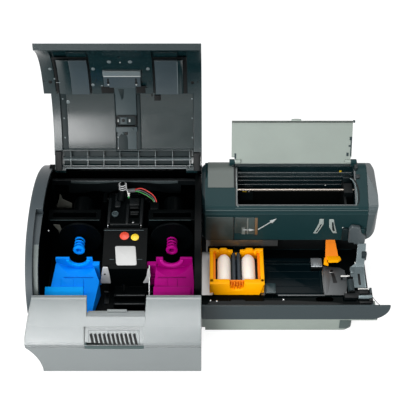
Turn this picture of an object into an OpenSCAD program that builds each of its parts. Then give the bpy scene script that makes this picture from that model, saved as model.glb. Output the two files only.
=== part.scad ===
// Desktop card printer: a print station on the left, a card feeder on the right.
// Millimetres. X runs right, Y runs back, Z runs up; the table is at z = 0.
// The part stands as it is serviced: ribbon cover and hopper lid open.

/* [Print station] */
// Width of the print station between its outer side faces
station_width = 234; // [210:1:260]
// Distance of the front face in front of the middle plane
station_front = 186.5; // [170:0.5:200]
// Height of the lower case, up to the seam under the front panel
case_height = 60; // [50:1:70]
// Height of the top edge of the sloping front panel
panel_top = 104; // [95:1:112]
// Wall thickness of the moulded covers
wall = 3; // [2:0.5:4]

/* [Cover curve] */
// Outer radius of the long curve over the top and back
crown_radius = 188; // [180:1:196]
// Outer radius of the tighter curve above the front panel
brow_radius = 100; // [90:1:110]
// Angle from the top at which the two curves meet
brow_angle = 14; // [10:1:18]
// Height of the ribbon cover's hinge axis
hinge_z = 130; // [126:1:134]
// Distance of the hinge axis behind the middle plane
hinge_y = 79; // [75:1:83]
// How far the ribbon cover stands open, in degrees
cover_open = 101.6; // [90:0.1:104]

/* [Ribbon drive] */
// Height of the two ribbon spindles
spindle_z = 92.5; // [88:0.5:96]
// Outer radius of the coloured spindle hubs
hub_radius = 8.3; // [7:0.1:9]
// Radius of the black spool discs behind the hubs
disc_radius = 30; // [26:0.5:30.5]
// Radius of the platen roller under the print head
platen_radius = 9; // [7:0.5:10]

/* [Card feeder] */
// Width of the feeder hood, end cap included
feeder_width = 240; // [220:1:260]
// Gap between the two units
unit_gap = 5; // [4:0.5:8]
// Distance of the lip's face in front of the middle plane
lip_front = 117; // [110:1:122]
// Height of the card bed above the table
bed_z = 53; // [50:1:56]
// Height of the hood's lower front edge
hood_low = 88; // [84:1:94]
// How far the hopper lid stands open, in degrees
lid_open = 139.4; // [100:0.1:140]

/* [Hidden] */
$fn = 64;
gap = 0.3;
run_gap = 0.05;
vent_depth = 1.6;
station_right = -9;
station_left = station_right - station_width;
feeder_left = station_right + unit_gap;
feeder_right = feeder_left + feeder_width;
crown_y = -22;
crown_z = -26;
brow_shift = crown_radius - brow_radius;
brow_y = crown_y - brow_shift * sin(brow_angle);
brow_z = crown_z + brow_shift * cos(brow_angle);
join_y = crown_y - crown_radius * sin(brow_angle);
seam_z = case_height + 0.5;
deck_z = 41;
foot_z = 3;
plinth_back = -150;
// the lower case narrows in a hollow curve towards the table on its left
flare_x = -302;
flare_z = 5;
flare_radius = 78;
// side limits inside the print station
frame_left = -229;
bay_left = -226;
bay_right = -18;
step_y = -32;
rim_front_x = -233.5;
rim_back_x = -224.5;
cover_wide_x = -231.5;
cover_left_x = -221.5;
cover_depth = 9;
ledge_x = -229.4;
tip_z = 101.7;
barrel_radius = 6;
pin_radius = 3;
barrel_left = -221.5;
barrel_right = -15.5;
supply_x = -180;
takeup_x = -50.5;
hub_front = -47;
disc_y = -24;
beam_front = -6;
beam_back = 14;
beam_top = 112;
shaft_radius = 4;
head_x0 = -143;
head_x1 = -92;
head_pivot_y = 54;
head_pivot_z = 92;
platen_x = -118;
platen_z = 51;
bridge_x0 = -146;
bridge_x1 = -85;
// feeder
tub_right = 228;
side_x = 223.5;
side_front = -84;
side_back = 40;
feeder_back = 66;
tub_z = 28;
lip_top = 57;
lip_depth = 2.5;
slope = 22.9;
lid_axis_y = 50;
lid_axis_z = 172;
lid_x0 = 33;
lid_x1 = 205;
lid_length = 58.5;
hopper_x0 = 41;
hopper_x1 = 204;
hopper_y0 = -9;
hopper_y1 = 46;
hopper_floor = 57;
rod_y = 20;
rod_z = 146;
rod_radius = 1.5;
gate_rod_y = -14.45;
gate_rod_z = 94;
gate_rod_radius = 1.6;
end_roller_z = 58.4;
end_cap_x = 222;
cassette_x0 = 2;
cassette_x1 = 78;
cassette_back = -30;
cassette_z0 = 55;
cassette_z1 = 79;
roller_z = 68.5;
roller_radius = 9.5;
roller_left_x = 22.5;
roller_right_x = 56.5;
shelf_y = -97;

slate = [0.22, 0.28, 0.30];
black = [0.05, 0.06, 0.07];
silver = [0.62, 0.64, 0.65];
pale = [0.60, 0.64, 0.62];
steel = [0.72, 0.73, 0.74];
blue = [0.0, 0.45, 0.95];
magenta = [0.55, 0.0, 0.50];
orange = [1.0, 0.66, 0.0];

// ---------- shared forms ----------

// a box from its six limits
module slab(x0, x1, y0, y1, z0, z1) {
  translate([x0, y0, z0]) cube([x1 - x0, y1 - y0, z1 - z0]);
}

// a flat outline drawn in Y and Z, made solid from x0 to x1
module along_x(x0, x1) {
  translate([x0, 0, 0]) rotate([90, 0, 90]) linear_extrude(x1 - x0) children();
}

// a flat outline drawn in X and Z, made solid from y0 to y1
module along_y(y0, y1) {
  translate([0, y1, 0]) rotate([90, 0, 0]) linear_extrude(y1 - y0) children();
}

// a flat outline drawn in X and Y, made solid from z0 to z1
module along_z(z0, z1) {
  translate([0, 0, z0]) linear_extrude(z1 - z0) children();
}

module rod_x(x0, x1, y, z, r) {
  translate([x0, y, z]) rotate([0, 90, 0]) cylinder(h = x1 - x0, r = r);
}

module rod_y(y0, y1, x, z, r) {
  translate([x, y0, z]) rotate([-90, 0, 0]) cylinder(h = y1 - y0, r = r);
}

module rod_z(z0, z1, x, y, r) {
  translate([x, y, z0]) cylinder(h = z1 - z0, r = r);
}

// a rectangle with round corners, from its limits
module rounded(x0, x1, y0, y1, r) {
  translate([x0 + r, y0]) square([x1 - x0 - 2 * r, y1 - y0]);
  translate([x0, y0 + r]) square([x1 - x0, y1 - y0 - 2 * r]);
  for (x = [x0 + r, x1 - r])
    for (y = [y0 + r, y1 - r])
      translate([x, y]) circle(r);
}

// side outline of the curved top, closed, moved inwards by inset
module curve_outline(inset) {
  intersection() {
    translate([crown_y, crown_z]) circle(crown_radius - inset, $fn = 256);
    translate([join_y, -250]) square([400, 500]);
  }
  translate([brow_y, brow_z]) circle(brow_radius - inset, $fn = 192);
}

// the skin between two insets, from x0 to x1 and y0 to y1, above z0
module skin(inset0, inset1, x0, x1, y0, y1, z0) {
  along_x(x0, x1) intersection() {
    difference() {
      curve_outline(inset0);
      curve_outline(inset1);
    }
    translate([y0, z0]) square([y1 - y0, 300]);
  }
}

// turns a cover built shut to the open position
module opened() {
  translate([0, hinge_y, hinge_z]) rotate([-cover_open, 0, 0])
    translate([0, -hinge_y, -hinge_z]) children();
}

// keeps what lies inside the open cover's inner face
module against_cover(inset) {
  intersection() {
    opened() along_x(-240, 0) curve_outline(inset);
    children();
  }
}

// ---------- print station, lower case ----------

// front view outline of the lower case, moved inwards by inset
module case_section(inset, top) {
  difference() {
    translate([station_left + inset, foot_z + inset])
      square([station_width - 2 * inset, top - foot_z - inset]);
    translate([flare_x, flare_z]) circle(flare_radius + inset, $fn = 160);
  }
}

module case_base() {
  color(silver) difference() {
    intersection() {
      along_y(plinth_back, 170) case_section(0, case_height);
      union() {
        along_x(-260, 0) translate([crown_y, crown_z]) circle(crown_radius, $fn = 256);
        slab(-260, 0, plinth_back, 0, 0, 80);
      }
    }
    intersection() {
      along_y(plinth_back + wall, 170) case_section(wall, case_height + 5);
      union() {
        along_x(-260, 0) translate([crown_y, crown_z])
          circle(crown_radius - wall, $fn = 256);
        slab(-260, 0, plinth_back + wall, 0, 0, 80);
      }
    }
    // card slot towards the feeder
    slab(station_right - 5, station_right + 1, -72, -8, 56, 70);
    // cooling slots in the floor
    for (x = [-190 : 12 : -60])
      slab(x, x + 4, 40, 90, 0, 10);
  }
}

module rubber_feet() {
  foot_radius = 9;
  places = [[-205, -165], [-30, -165], [-205, 120], [-30, 120], [20, -95], [170, -95],
    [6, 0], [20, 45], [170, 45]];
  color(black) for (p = places)
    rod_z(0, foot_z, p[0], p[1], foot_radius);
}

module front_plinth() {
  groove_z = 56.5;
  color(silver) difference() {
    along_y(-station_front, plinth_back - 0.1) case_section(0, case_height);
    along_y(-station_front + wall, plinth_back + 1) case_section(wall, case_height + 5);
    // shadow groove under the upper edge
    slab(-250, 0, -station_front - 1, -station_front + 0.8, groove_z, groove_z + 1.2);
    // lower part of the vent recess and of its opening
    slab(-164, -85, -station_front - 1, -station_front + vent_depth, 53, 61);
    vent_shape(vent_depth - 4, 12, -158.2, -90.8, 55.8, 74.2);
  }
}

// side outline of the sloping front panel, moved inwards by inset
module panel_outline(inset) {
  translate([inset, -inset]) polygon([
    [-station_front, seam_z - 2], [-station_front, 62.5], [-station_front + 1.6, 65.2],
    [-142, panel_top - 0.6], [-140, panel_top], [-136.5, panel_top - 0.4],
    [-118, panel_top - 0.4], [-118, seam_z - 2]]);
}

// front outline of the panel: its left edge leans in towards the top
module panel_front(inset) {
  polygon([[station_left + inset, seam_z], [station_left + inset, 70],
    [-234 + inset, panel_top + 1], [station_right - inset, panel_top + 1],
    [station_right - inset, seam_z]]);
}

module front_panel() {
  notch_x0 = -160.5;
  notch_x1 = -83.5;
  notch_z = 88.5;
  color(silver) {
    difference() {
      intersection() {
        along_x(station_left, station_right) panel_outline(0);
        along_y(-200, -100) panel_front(0);
      }
      intersection() {
        along_x(station_left, station_right) panel_outline(wall);
        along_y(-200, -100) panel_front(wall);
      }
      // room for the side cover and for the path of the ribbon cover's edge
      along_x(-260, 0) translate([brow_y, brow_z]) circle(brow_radius + gap, $fn = 192);
      along_x(-260, 0) translate([hinge_y, hinge_z]) circle(216.2, $fn = 256);
      slab(-260, 0, -130, -100, 50, 120);
      // finger notch in the top edge
      along_y(-200, -120) polygon([[notch_x0 - 0.6, panel_top + 5], [notch_x0, notch_z],
        [notch_x1, notch_z], [notch_x1 + 2.4, panel_top + 5]]);
      // upper part of the vent recess and of its opening
      vent_shape(-6, vent_depth, -164, -85, 50, 79);
      vent_shape(vent_depth - 4, 12, -158.2, -90.8, 55.8, 74.2);
    }
    // ledge with a catch tab behind the notch
    slab(notch_x0 + 1, notch_x1 - 1, -157, -148, 82, 86);
    slab(-134, -108, -152, -148.5, 86, 90);
    slab(notch_x0 + 1, notch_x1 - 1, -163, -157, 79, 84);
  }
}

// the layer of the creased front between two depths, cut to a box
module vent_shape(depth0, depth1, x0, x1, z0, z1) {
  along_x(x0, x1) intersection() {
    difference() {
      translate([depth0, -depth0]) front_crease();
      translate([depth1, -depth1]) front_crease();
    }
    translate([-220, z0]) square([100, z1 - z0]);
  }
}

// side outline of the creased front, filled towards the back
module front_crease() {
  polygon([[-station_front, 20], [-station_front, 62.5], [-station_front + 1.6, 65.2],
    [-142, panel_top - 0.6], [-100, panel_top - 0.6], [-100, 20]]);
}

module vent_grille() {
  slots = 11;
  pitch = 5.74;
  first = -152.6;
  color(silver) difference() {
    vent_shape(vent_depth, 4.4, -158, -91, 56, 74);
    for (i = [0 : slots - 1])
      translate([first + i * pitch, -200, 59]) rotate([0, -20, 0])
        cube([3, 40, 12.5]);
  }
}

// ---------- print station, covers ----------

module left_side_cover() {
  floor_z = seam_z;
  color(slate) difference() {
    union() {
      // flat wall with a rounded outer edge, in three steps
      skin_wall(station_left, station_left + 1, 2.2);
      skin_wall(station_left + 1, station_left + 2, 0.8);
      skin_wall(station_left + 2, station_left + wall, 0);
      skin(0, 4, station_left + wall, rim_front_x, -160, step_y, floor_z);
      skin(0, 4, station_left + wall, rim_back_x, step_y, 160, floor_z);
      // ledge that the closed cover's broad front lies over
      skin(cover_depth + 0.6, cover_depth + 3, station_left + wall, ledge_x, -160, step_y, floor_z);
    }
    // round hole for the frame screw
    rod_x(-250, -230, 20, 76, 4);
    // room for the hinge ear and the cover's barrel
    rod_x(frame_left - 0.5, -200, hinge_y, hinge_z, 7.7);
  }
}

module skin_wall(x0, x1, inset) {
  along_x(x0, x1) intersection() {
    curve_outline(inset);
    translate([-160, seam_z]) square([330, 200]);
  }
}

module rear_cover() {
  slots = 14;
  color(slate) difference() {
    skin(0, wall, rim_back_x + 0.2, station_right, hinge_y + 8, 160, seam_z);
    // cooling slots
    for (i = [0 : slots - 1])
      slab(-190 + i * 10, -184 + i * 10, 100, 140, 84, 104);
    // opening for the power inlet
    slab(-64, -30, 120, 160, 65, 90);
    // button hole
    rod_y(120, 160, -80, 74, 6.3);
  }
}

module inner_frame() {
  ear = 6.5;
  color(black) {
    difference() {
      slab(bay_left, -12.5, -146, 138, deck_z - 3, deck_z);
      // cable slots in the floor
      slab(-200, -170, 60, 75, 30, 50);
      slab(-70, -40, 60, 75, 30, 50);
    }
    difference() {
      along_x(frame_left, bay_left) intersection() {
        curve_outline(10);
        translate([-136, deck_z - 0.6]) square([270, 200]);
      }
      // windows towards the side cover
      slab(-235, -220, 6, 60, 66, 92);
      slab(-235, -220, -40, -10, 74, 108);
      rod_x(-235, -220, hinge_y, hinge_z, pin_radius);
    }
    // ear that carries the cover's left pin
    difference() {
      union() {
        rod_x(frame_left, barrel_left - gap, hinge_y, hinge_z, ear);
        slab(frame_left, barrel_left - gap, hinge_y - 5, hinge_y + 5, 112, hinge_z);
      }
      rod_x(-235, -220, hinge_y, hinge_z, pin_radius);
      slab(frame_left - 1, bay_left, hinge_y - 8, hinge_y + 8, 105, crown_edge(hinge_y, 10));
    }
    // rear guard under the rear cover
    slab(bay_left, bay_right, 110, 113, deck_z, 96);
  }
}

// height of the curve behind the top, at depth y and moved in by inset
function crown_edge(y, inset) =
  crown_z + sqrt(pow(crown_radius - inset, 2) - pow(y - crown_y, 2));

module bulkhead_right() {
  ear = 6.5;
  color(black) difference() {
    union() {
      difference() {
        along_x(bay_right, station_right) intersection() {
          curve_outline(10);
          translate([-136, seam_z]) square([270, 200]);
        }
        along_x(bay_right + 2, station_right - 2) intersection() {
          curve_outline(13);
          translate([-133, seam_z - 5]) square([262, 200]);
        }
      }
      slab(bay_right, bay_right + 2, -133, 129, deck_z, seam_z);
      rod_x(barrel_right + gap, station_right, hinge_y, hinge_z, ear);
      slab(barrel_right + gap, station_right, hinge_y - 5, hinge_y + 5, 116, hinge_z);
    }
    rod_x(-25, 0, hinge_y, hinge_z, pin_radius);
    // card slot
    slab(-25, 0, -72, -8, 56, 66);
  }
}

module rear_rail() {
  rail_y = 64;
  color(black) difference() {
    union() {
      slab(bay_left, bay_right, rail_y, rail_y + 4, 112, 121);
      slab(-203, -40, rail_y, rail_y + 4, 96, 121);
      slab(-203, -40, rail_y + 4, rail_y + 8, 96, 99);
    }
    // two shallow waves in the lower edge
    for (x = [-164, -78])
      rod_y(50, 80, x, 70, 30);
    rod_y(50, 80, platen_x, 58, 46);
  }
}

// ---------- print station, works ----------

module bearing_beam() {
  bore = shaft_radius + run_gap;
  gap_x0 = -152;
  gap_x1 = -84;
  color(black) difference() {
    union() {
      slab(bay_left, gap_x0, beam_front, beam_back, deck_z, beam_top);
      slab(gap_x1, bay_right, beam_front, beam_back, deck_z, beam_top);
      slab(gap_x0, gap_x1, beam_front, beam_back, deck_z, 63);
    }
    rod_y(-20, 30, supply_x, spindle_z, bore);
    rod_y(-20, 30, takeup_x, spindle_z, bore);
    rod_y(-20, 30, platen_x, platen_z, 3 + run_gap);
    // long lightening pockets in the top
    slab(-220, -158, beam_front + 5, beam_back - 5, 102, 120);
    slab(-78, -24, beam_front + 5, beam_back - 5, 102, 120);
  }
}

module hinge_pins() {
  color(steel) {
    rod_x(frame_left, barrel_left + 12, hinge_y, hinge_z, pin_radius - 0.01);
    rod_x(barrel_right - 12, station_right, hinge_y, hinge_z, pin_radius - 0.01);
    rod_x(31, 45, lid_axis_y, lid_axis_z, 1.5);
    rod_x(193, 207, lid_axis_y, lid_axis_z, 1.5);
  }
}

// side outline of the cover over the print line
module bridge_outline(inset) {
  polygon([[-76 + inset, deck_z - 1], [-76 + inset, 88 - inset], [-72 + inset, 92.6 - inset],
    [-13, 103 - inset], [-13, deck_z - 1]]);
}

module bridge_cover() {
  color(black) difference() {
    union() {
      along_x(bridge_x0, bridge_x1) difference() {
        bridge_outline(0);
        square([400, 2 * deck_z], center = true);
      }
      // guide bars and foot in front of it
      slab(bridge_x0 + 16, bridge_x1 - 2, -112, -76, deck_z, 50);
      rod_x(bridge_x0 + 16, bridge_x1 - 2, -98, 56, 3);
      slab(bridge_x0 + 16, bridge_x1 - 2, -99, -97, 50, 54);
      rod_x(bridge_x0 + 16, bridge_x1 - 2, -110, 52, 3);
    }
    along_x(bridge_x0 + 2.5, bridge_x1 - 2.5) translate([0, -0.5]) bridge_outline(2.5);
    slab(bridge_x0 - 1, bridge_x1 + 1, -72, -8, 56, 64);
    // bore for the front end of the platen shaft
    rod_y(-90, -70, platen_x, platen_z, 3 + run_gap);
  }
}

module blank_label() {
  tilt = 10;
  color([0.95, 0.95, 0.94]) translate([-117.5, -47, bridge_height(-47) + 0.1])
    rotate([tilt, 0, -2]) translate([0, 0, 0.02])
      linear_extrude(0.3) rounded(-14.8, 14.8, -16, 16, 3);
}

// height of the bridge cover's sloping top at depth y
function bridge_height(y) = 92.6 + (y + 72) * (103 - 92.6) / 59;

module marker_dots() {
  tilt = 10;
  dot_y = -22.5;
  color([0.85, 0.25, 0.15]) translate([-117.5, dot_y, bridge_height(dot_y) + 0.1])
    rotate([tilt, 0, 0]) cylinder(h = 0.3, r = 6);
  color([0.95, 0.75, 0.05]) translate([-102.5, dot_y, bridge_height(dot_y) + 0.1])
    rotate([tilt, 0, 0]) cylinder(h = 0.3, r = 5);
}

// one ribbon cradle: a notched back plate, a sloping scoop and a raised front block
module cradle(x, left, right, front_left, front_right, block_left, block_right, bulge) {
  plate_y = -62;
  top_z = 93.7;
  notch = 12;
  front_y = -128;
  scoop_z = 74.5;
  scoop_radius = 48;
  difference() {
    intersection() {
      union() {
        along_x(left - 20, right + 20) polygon([[-59, top_z], [plate_y, top_z],
          [plate_y, 84], [-66, 81.5], [front_y, 48], [front_y, deck_z], [-59, deck_z]]);
        along_x(block_left, block_right) polygon([[-95, 71.5], [front_y, 55],
          [front_y, deck_z], [-95, deck_z]]);
      }
      along_z(0, 200) polygon([[left, -59], [right, -59], [right + 1, -64],
        [front_right + bulge, -85], [front_right, front_y], [front_left, front_y]]);
    }
    // half-round seat for the spool
    rod_y(-63, -50, x, spindle_z, notch);
    // shallow scoop under the roll
    rod_y(front_y - 1, plate_y, x, scoop_z + scoop_radius, scoop_radius);
    // hollow underneath
    along_x(front_left + 12, front_right - 8) polygon([[-63, deck_z - 1], [-63, 70],
      [-122, 43], [-122, deck_z - 1]]);
  }
}

module supply_cradle() {
  color(blue) {
    cradle(supply_x, -210.7, -160.5, -224.5, -160.5, -224.5, -172, 10);
    // shoulder beside the scoop
    slab(-160.5, -151, -66, -59, deck_z, 84);
  }
}

module takeup_cradle() {
  color(magenta) difference() {
    union() {
      cradle(takeup_x, -71.5, -22.3, -77.5, -20.5, -75, -24, 1);
      slab(-84.4, -71.5, -66, -59, deck_z, 84);
    }
    // groove for the card's near edge
    slab(-90, -10, -66.5, -50, 56, 64);
  }
}

module wire_bail() {
  r = 0.9;
  bail_x = -81.5;
  color(steel) {
    translate([bail_x, -66.9, 83]) rotate([132, 0, 0]) cylinder(h = 55, r = r);
    translate([bail_x, -66.9, 83]) sphere(r);
    slab(bail_x - r, bail_x + r, -109, -106, deck_z, 46.5);
  }
}

module leaf_clips() {
  color(steel) for (x = [-141.5, -81.3]) {
    slab(x - 3.2, x + 3.2, -100, -78, deck_z, deck_z + 1.2);
    translate([x - 3.2, -80, deck_z + 1]) rotate([38, 0, 0]) cube([6.4, 1.2, 16]);
  }
}

module head_mount() {
  color(black) {
    for (x = [-152, -88])
      difference() {
        slab(x, x + 5, 42, 60, deck_z, 99);
        rod_x(x - 1, x + 6, head_pivot_y, head_pivot_z, pin_radius);
      }
    slab(-147, -88, 42, 60, deck_z, 46);
  }
  color(steel)
    rod_x(-152, -83, head_pivot_y, head_pivot_z, pin_radius - 0.01);
}

module head_harness() {
  bend = [-74, 34, 111];
  r = 3.6;
  color([0.45, 0.30, 0.25]) {
    translate([-102, 50.8, 114.8]) rotate([0, 97.3, -31]) cylinder(h = 32.8, r = r);
    translate(bend) sphere(r + 0.4);
    translate(bend) rotate([0, 109.6, -90]) cylinder(h = 20, r = r);
  }
}

module drive_motors() {
  motor_radius = 14;
  color([0.35, 0.36, 0.38]) {
    for (x = [supply_x, takeup_x]) {
      rod_y(beam_back + 4, beam_back + 32, x, spindle_z, motor_radius);
      rod_y(beam_back, beam_back + 4, x, spindle_z, motor_radius - 4);
    }
    difference() {
      rod_y(beam_back + 4, beam_back + 26, platen_x, platen_z, 9.5);
      rod_y(beam_back, beam_back + 7, platen_x, platen_z, 3.6);
    }
    rod_y(beam_back, beam_back + 4, platen_x, platen_z - 6.5, 2.5);
  }
}

module main_board() {
  color([0.05, 0.30, 0.15]) {
    slab(-200, -40, -60, 60, 12, 13.6);
    for (x = [-185, -150, -110, -70])
      slab(x, x + 14, -30, 10, 13.6, 19);
    for (x = [-192, -48])
      for (y = [-52, 52])
        rod_z(6, 12, x, y, 3);
  }
}

module power_inlet() {
  inlet_y = 131;
  color(black) difference() {
    slab(-63.5, -30.5, 113, inlet_y + 5, 66, 89);
    slab(-59, -35, inlet_y - 6, inlet_y + 10, 70, 85);
  }
  color(steel) for (x = [-53, -47, -41])
    slab(x - 0.8, x + 0.8, inlet_y - 6, inlet_y - 2, 75, 81);
}

module power_button() {
  color(black) {
    rod_y(137, 144.5, -80, 74, 6);
    rod_y(116.5, 137, -80, 74, 2.5);
  }
}

// ---------- ribbon cover ----------

module top_cover() {
  front_y = -140;
  flange = 11.5;
  knuckle = 16;
  color(slate) opened() difference() {
    union() {
      skin(0, wall, cover_wide_x, station_right, front_y, step_y, tip_z);
      skin(0, wall, cover_left_x, station_right, step_y, hinge_y - 3, tip_z);
      // deep frame at the free end
      skin(wall, cover_depth, cover_wide_x, station_right, front_y, step_y, tip_z);
      // flanges down both sides
      skin(wall, cover_depth, cover_left_x, cover_left_x + flange, step_y, 58, tip_z);
      skin(wall, cover_depth, station_right - flange, station_right, step_y, 58, tip_z);
      // a hinge knuckle at each end
      rod_x(barrel_left, barrel_left + knuckle, hinge_y, hinge_z, barrel_radius);
      rod_x(barrel_right - knuckle, barrel_right, hinge_y, hinge_z, barrel_radius);
    }
    // pin holes
    rod_x(barrel_left - 5, barrel_left + 12.5, hinge_y, hinge_z, pin_radius + run_gap);
    rod_x(barrel_right - 12.5, 0, hinge_y, hinge_z, pin_radius + run_gap);
    // room for the ear at the right end
    rod_x(barrel_right, 0, hinge_y, hinge_z, 8);
    // two wide pockets in the frame, each with a raised panel
    cover_pocket(-214, -163, -192, -165);
    cover_pocket(-77, -29, -73, -42);
    // locating holes
    for (x = [-219, -22])
      cover_hole(x, 271, 2.6);
    for (x = [-154, -79])
      cover_hole(x, 273, 1.3);
    cover_hole(-121, 305, 2);
    // dark notches above the channel
    shut() slab(-145, -129, 100, 128.6, 243, 256);
    shut() slab(-98, -85, 100, 128.6, 243, 256);
  }
}

// turns what is drawn in the open position back to the shut one
module shut() {
  translate([0, hinge_y, hinge_z]) rotate([cover_open, 0, 0])
    translate([0, -hinge_y, -hinge_z]) children();
}

module cover_pocket(x0, x1, panel0, panel1) {
  low = -116;
  high = step_y;
  difference() {
    skin(4.5, cover_depth + 2, x0, x1, low, high, 100);
    skin(4, 7.5, panel0, panel1, low + 6, high + 1, 100);
  }
}

module cover_hole(x, z, r) {
  shut() rod_y(60, 124.5, x, z, r);
}

module cover_liner() {
  rib_left = [-210, -198, -173, -150, -127, -100, -76, -51, -26, -20];
  rib = 0.8;
  grid_back = 72;
  color(black) {
    opened() {
      skin(wall, 5.5, -209.5, -21, step_y, grid_back, tip_z);
      difference() {
        skin(5.5, 9.6, -209, -21, grid_back - 21, grid_back, tip_z);
        // cells between the ribs, in two rows
        for (i = [0 : len(rib_left) - 2]) {
          skin(5.4, 10, rib_left[i] + rib, rib_left[i + 1] - rib,
            grid_back - 19.8, grid_back - 11, tip_z);
          skin(5.4, 10, rib_left[i] + rib, rib_left[i + 1] - rib,
            grid_back - 9.4, grid_back - 1.2, tip_z);
        }
      }
      // stop blocks beside the hinge
      for (x = [cover_left_x + 1, station_right - 11])
        skin(wall, cover_depth, x, x + 10, 58.3, grid_back, tip_z);
    }
  }
}

module cover_channel() {
  x0 = -135;
  x1 = -101;
  color(black) difference() {
    against_cover(5.55) slab(x0, x1, 60, 140, 166, 233);
    against_cover(15) slab(-160, -60, 0, 160, 100, 300);
    // pocket for the plug
    against_cover(8) slab(x0 + 3, x1 - 4, 60, 140, 186, 210);
    // long recess below it
    against_cover(11) slab(x0 + 5, x1 - 5, 60, 140, 169, 183);
    against_cover(11) slab(x0 + 3, x1 - 3, 60, 140, 213, 236);
  }
  color([0.4, 0.42, 0.43]) difference() {
    against_cover(8) slab(x0 + 5, x1 - 7, 60, 140, 188, 208);
    against_cover(17) slab(-160, -60, 0, 160, 100, 300);
    rod_y(60, 140, x0 + 13, 198, 3);
  }
}

module cover_bracket() {
  x0 = -146;
  x1 = -93;
  color(black) difference() {
    against_cover(cover_depth + 0.05) slab(x0, x1, 60, 140, 270, 296);
    against_cover(cover_depth + 3.5) slab(-160, -60, 0, 160, 100, 291);
    against_cover(cover_depth + 8) slab(-160, -60, 0, 160, 100, 400);
    // keyhole slots
    for (x = [-137, -99]) {
      rod_y(60, 140, x, 280, 2.6);
      slab(x - 1.2, x + 1.2, 60, 140, 280, 286);
    }
  }
}

// ---------- print head ----------

module head_carriage() {
  arm_front = -66;
  color(black) difference() {
    union() {
      along_x(head_x0, head_x1) polygon([[60, 84], [60, 98], [44, 107], [-6, 105],
        [-11, 98], [-11, 67], [30, 67]]);
      slab(-132, -104, arm_front, -10, 67, 76);
      rod_z(100, 112, -119, 50, 6);
      // socket for the wires
      slab(-112, -101, 46, 57, 97, 110.8);
    }
    rod_x(-160, -80, head_pivot_y, head_pivot_z, pin_radius + run_gap);
    // hollow in the top
    slab(-112, -98, 4, 22, 99, 120);
    rod_z(100, 120, -135, 14, 4);
  }
}

module print_head() {
  color(steel) {
    slab(-130, -106, -66, -12, 61.5, 66.9);
    slab(-119, -117, -66, -12, 60.4, 61.5);
  }
}

module head_spring() {
  turns = 6;
  pitch = 3;
  color(steel) {
    for (i = [0 : turns - 1])
      translate([-119, 50, 112.8 + i * pitch])
        rotate_extrude() translate([4.6, 0]) circle(0.8);
    rod_z(112, 128.6, -119, 50, 3.8);
  }
}

// ---------- spindles and platen ----------

module spindle(x) {
  difference() {
    union() {
      rod_y(hub_front, disc_y, x, spindle_z, hub_radius - 2);
      rod_y(hub_front, hub_front + 4, x, spindle_z, hub_radius);
      for (i = [0 : 2])
        rod_y(hub_front + 8 + i * 5, hub_front + 10 + i * 5, x, spindle_z, hub_radius - 0.4);
    }
    rod_y(hub_front - 1, hub_front + 14, x, spindle_z, 4.4);
  }
  rod_y(disc_y, beam_back - 1, x, spindle_z, shaft_radius);
}

module spool_disc(x) {
  color(black) difference() {
    union() {
      rod_y(disc_y + 0.1, disc_y + 3, x, spindle_z, disc_radius);
      rod_y(disc_y + 3, disc_y + 10, x, spindle_z, 10);
    }
    rod_y(disc_y - 1, disc_y + 12, x, spindle_z, shaft_radius + 0.01);
  }
}

module supply_spindle() {
  color(blue) spindle(supply_x);
}

module takeup_spindle() {
  color(magenta) spindle(takeup_x);
}

module supply_disc() {
  spool_disc(supply_x);
}

module takeup_disc() {
  spool_disc(takeup_x);
}

module platen_roller() {
  color([0.12, 0.12, 0.13]) difference() {
    rod_y(-70, -10, platen_x, platen_z, platen_radius);
    rod_y(-71, -9, platen_x, platen_z, 3.01);
  }
}

module platen_shaft() {
  color(steel) rod_y(-75.8, beam_back + 5, platen_x, platen_z, 3);
}

// ---------- card feeder, lower part ----------

module feeder_base() {
  cap_x = 186;
  base_right = 201;
  base_front = -lip_front + 0.8;
  corner = 12;
  color(pale) {
    difference() {
      slab(feeder_left, cap_x, base_front, feeder_back - 2, foot_z, 25);
      slab(feeder_left + wall, cap_x - wall, base_front + wall, feeder_back - 2 - wall,
        foot_z + wall, 26);
    }
    // rim that shows as a light strip under the tub
    difference() {
      slab(feeder_left, 236, -lip_front + 0.5, feeder_back, 25, tub_z);
      slab(feeder_left + 10, cap_x - 6, -100, 50, 24, tub_z + 1);
      slab(side_x, 237, side_front, side_back, 24, tub_z + 1);
    }
  }
  color([0.30, 0.34, 0.35]) along_z(foot_z, 25) difference() {
    union() {
      translate([cap_x, base_front + corner])
        square([base_right - cap_x, feeder_back - 2 - base_front - corner]);
      translate([cap_x, base_front]) square([base_right - corner - cap_x, 20]);
      translate([base_right - corner, base_front + corner]) circle(corner);
    }
    translate([cap_x + wall, base_front + 15]) square([base_right - cap_x - 2 * wall, 150]);
  }
}

module feeder_tub() {
  color(slate) {
    difference() {
      slab(feeder_left, tub_right, -lip_front + lip_depth, feeder_back, tub_z, bed_z - 3);
      slab(feeder_left + wall, side_x - wall, -lip_front + lip_depth + wall,
        feeder_back - wall, tub_z + wall, bed_z);
      // the right side steps in beside the bed
      slab(side_x, tub_right + 1, side_front, side_back, tub_z - 1, bed_z);
      // card slot side is open above the rim
      slab(feeder_left - 1, feeder_left + wall + 1, -72, -8, 56, 60);
    }
    // front lip with a swept right end
    along_y(-lip_front, -lip_front + lip_depth) difference() {
      translate([feeder_left, tub_z]) square([255, lip_top - tub_z]);
      difference() {
        translate([222, tub_z - 1]) square([40, 31]);
        translate([224, 54.5]) circle(27);
        translate([222, 54.5]) square([29, 10]);
      }
    }
    // side wings of the tub beside the bed
    slab(tub_right - wall, tub_right, -lip_front + lip_depth, -84, bed_z - 3, lip_top);
    // posts for the pick roller
    for (y = [-17, 53])
      difference() {
        slab(38, 62, y, y + 3, tub_z + wall, bed_z + 2.5);
        rod_y(y - 1, y + 4, 50, 49.5, 2.5 + run_gap);
      }
  }
}

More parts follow.
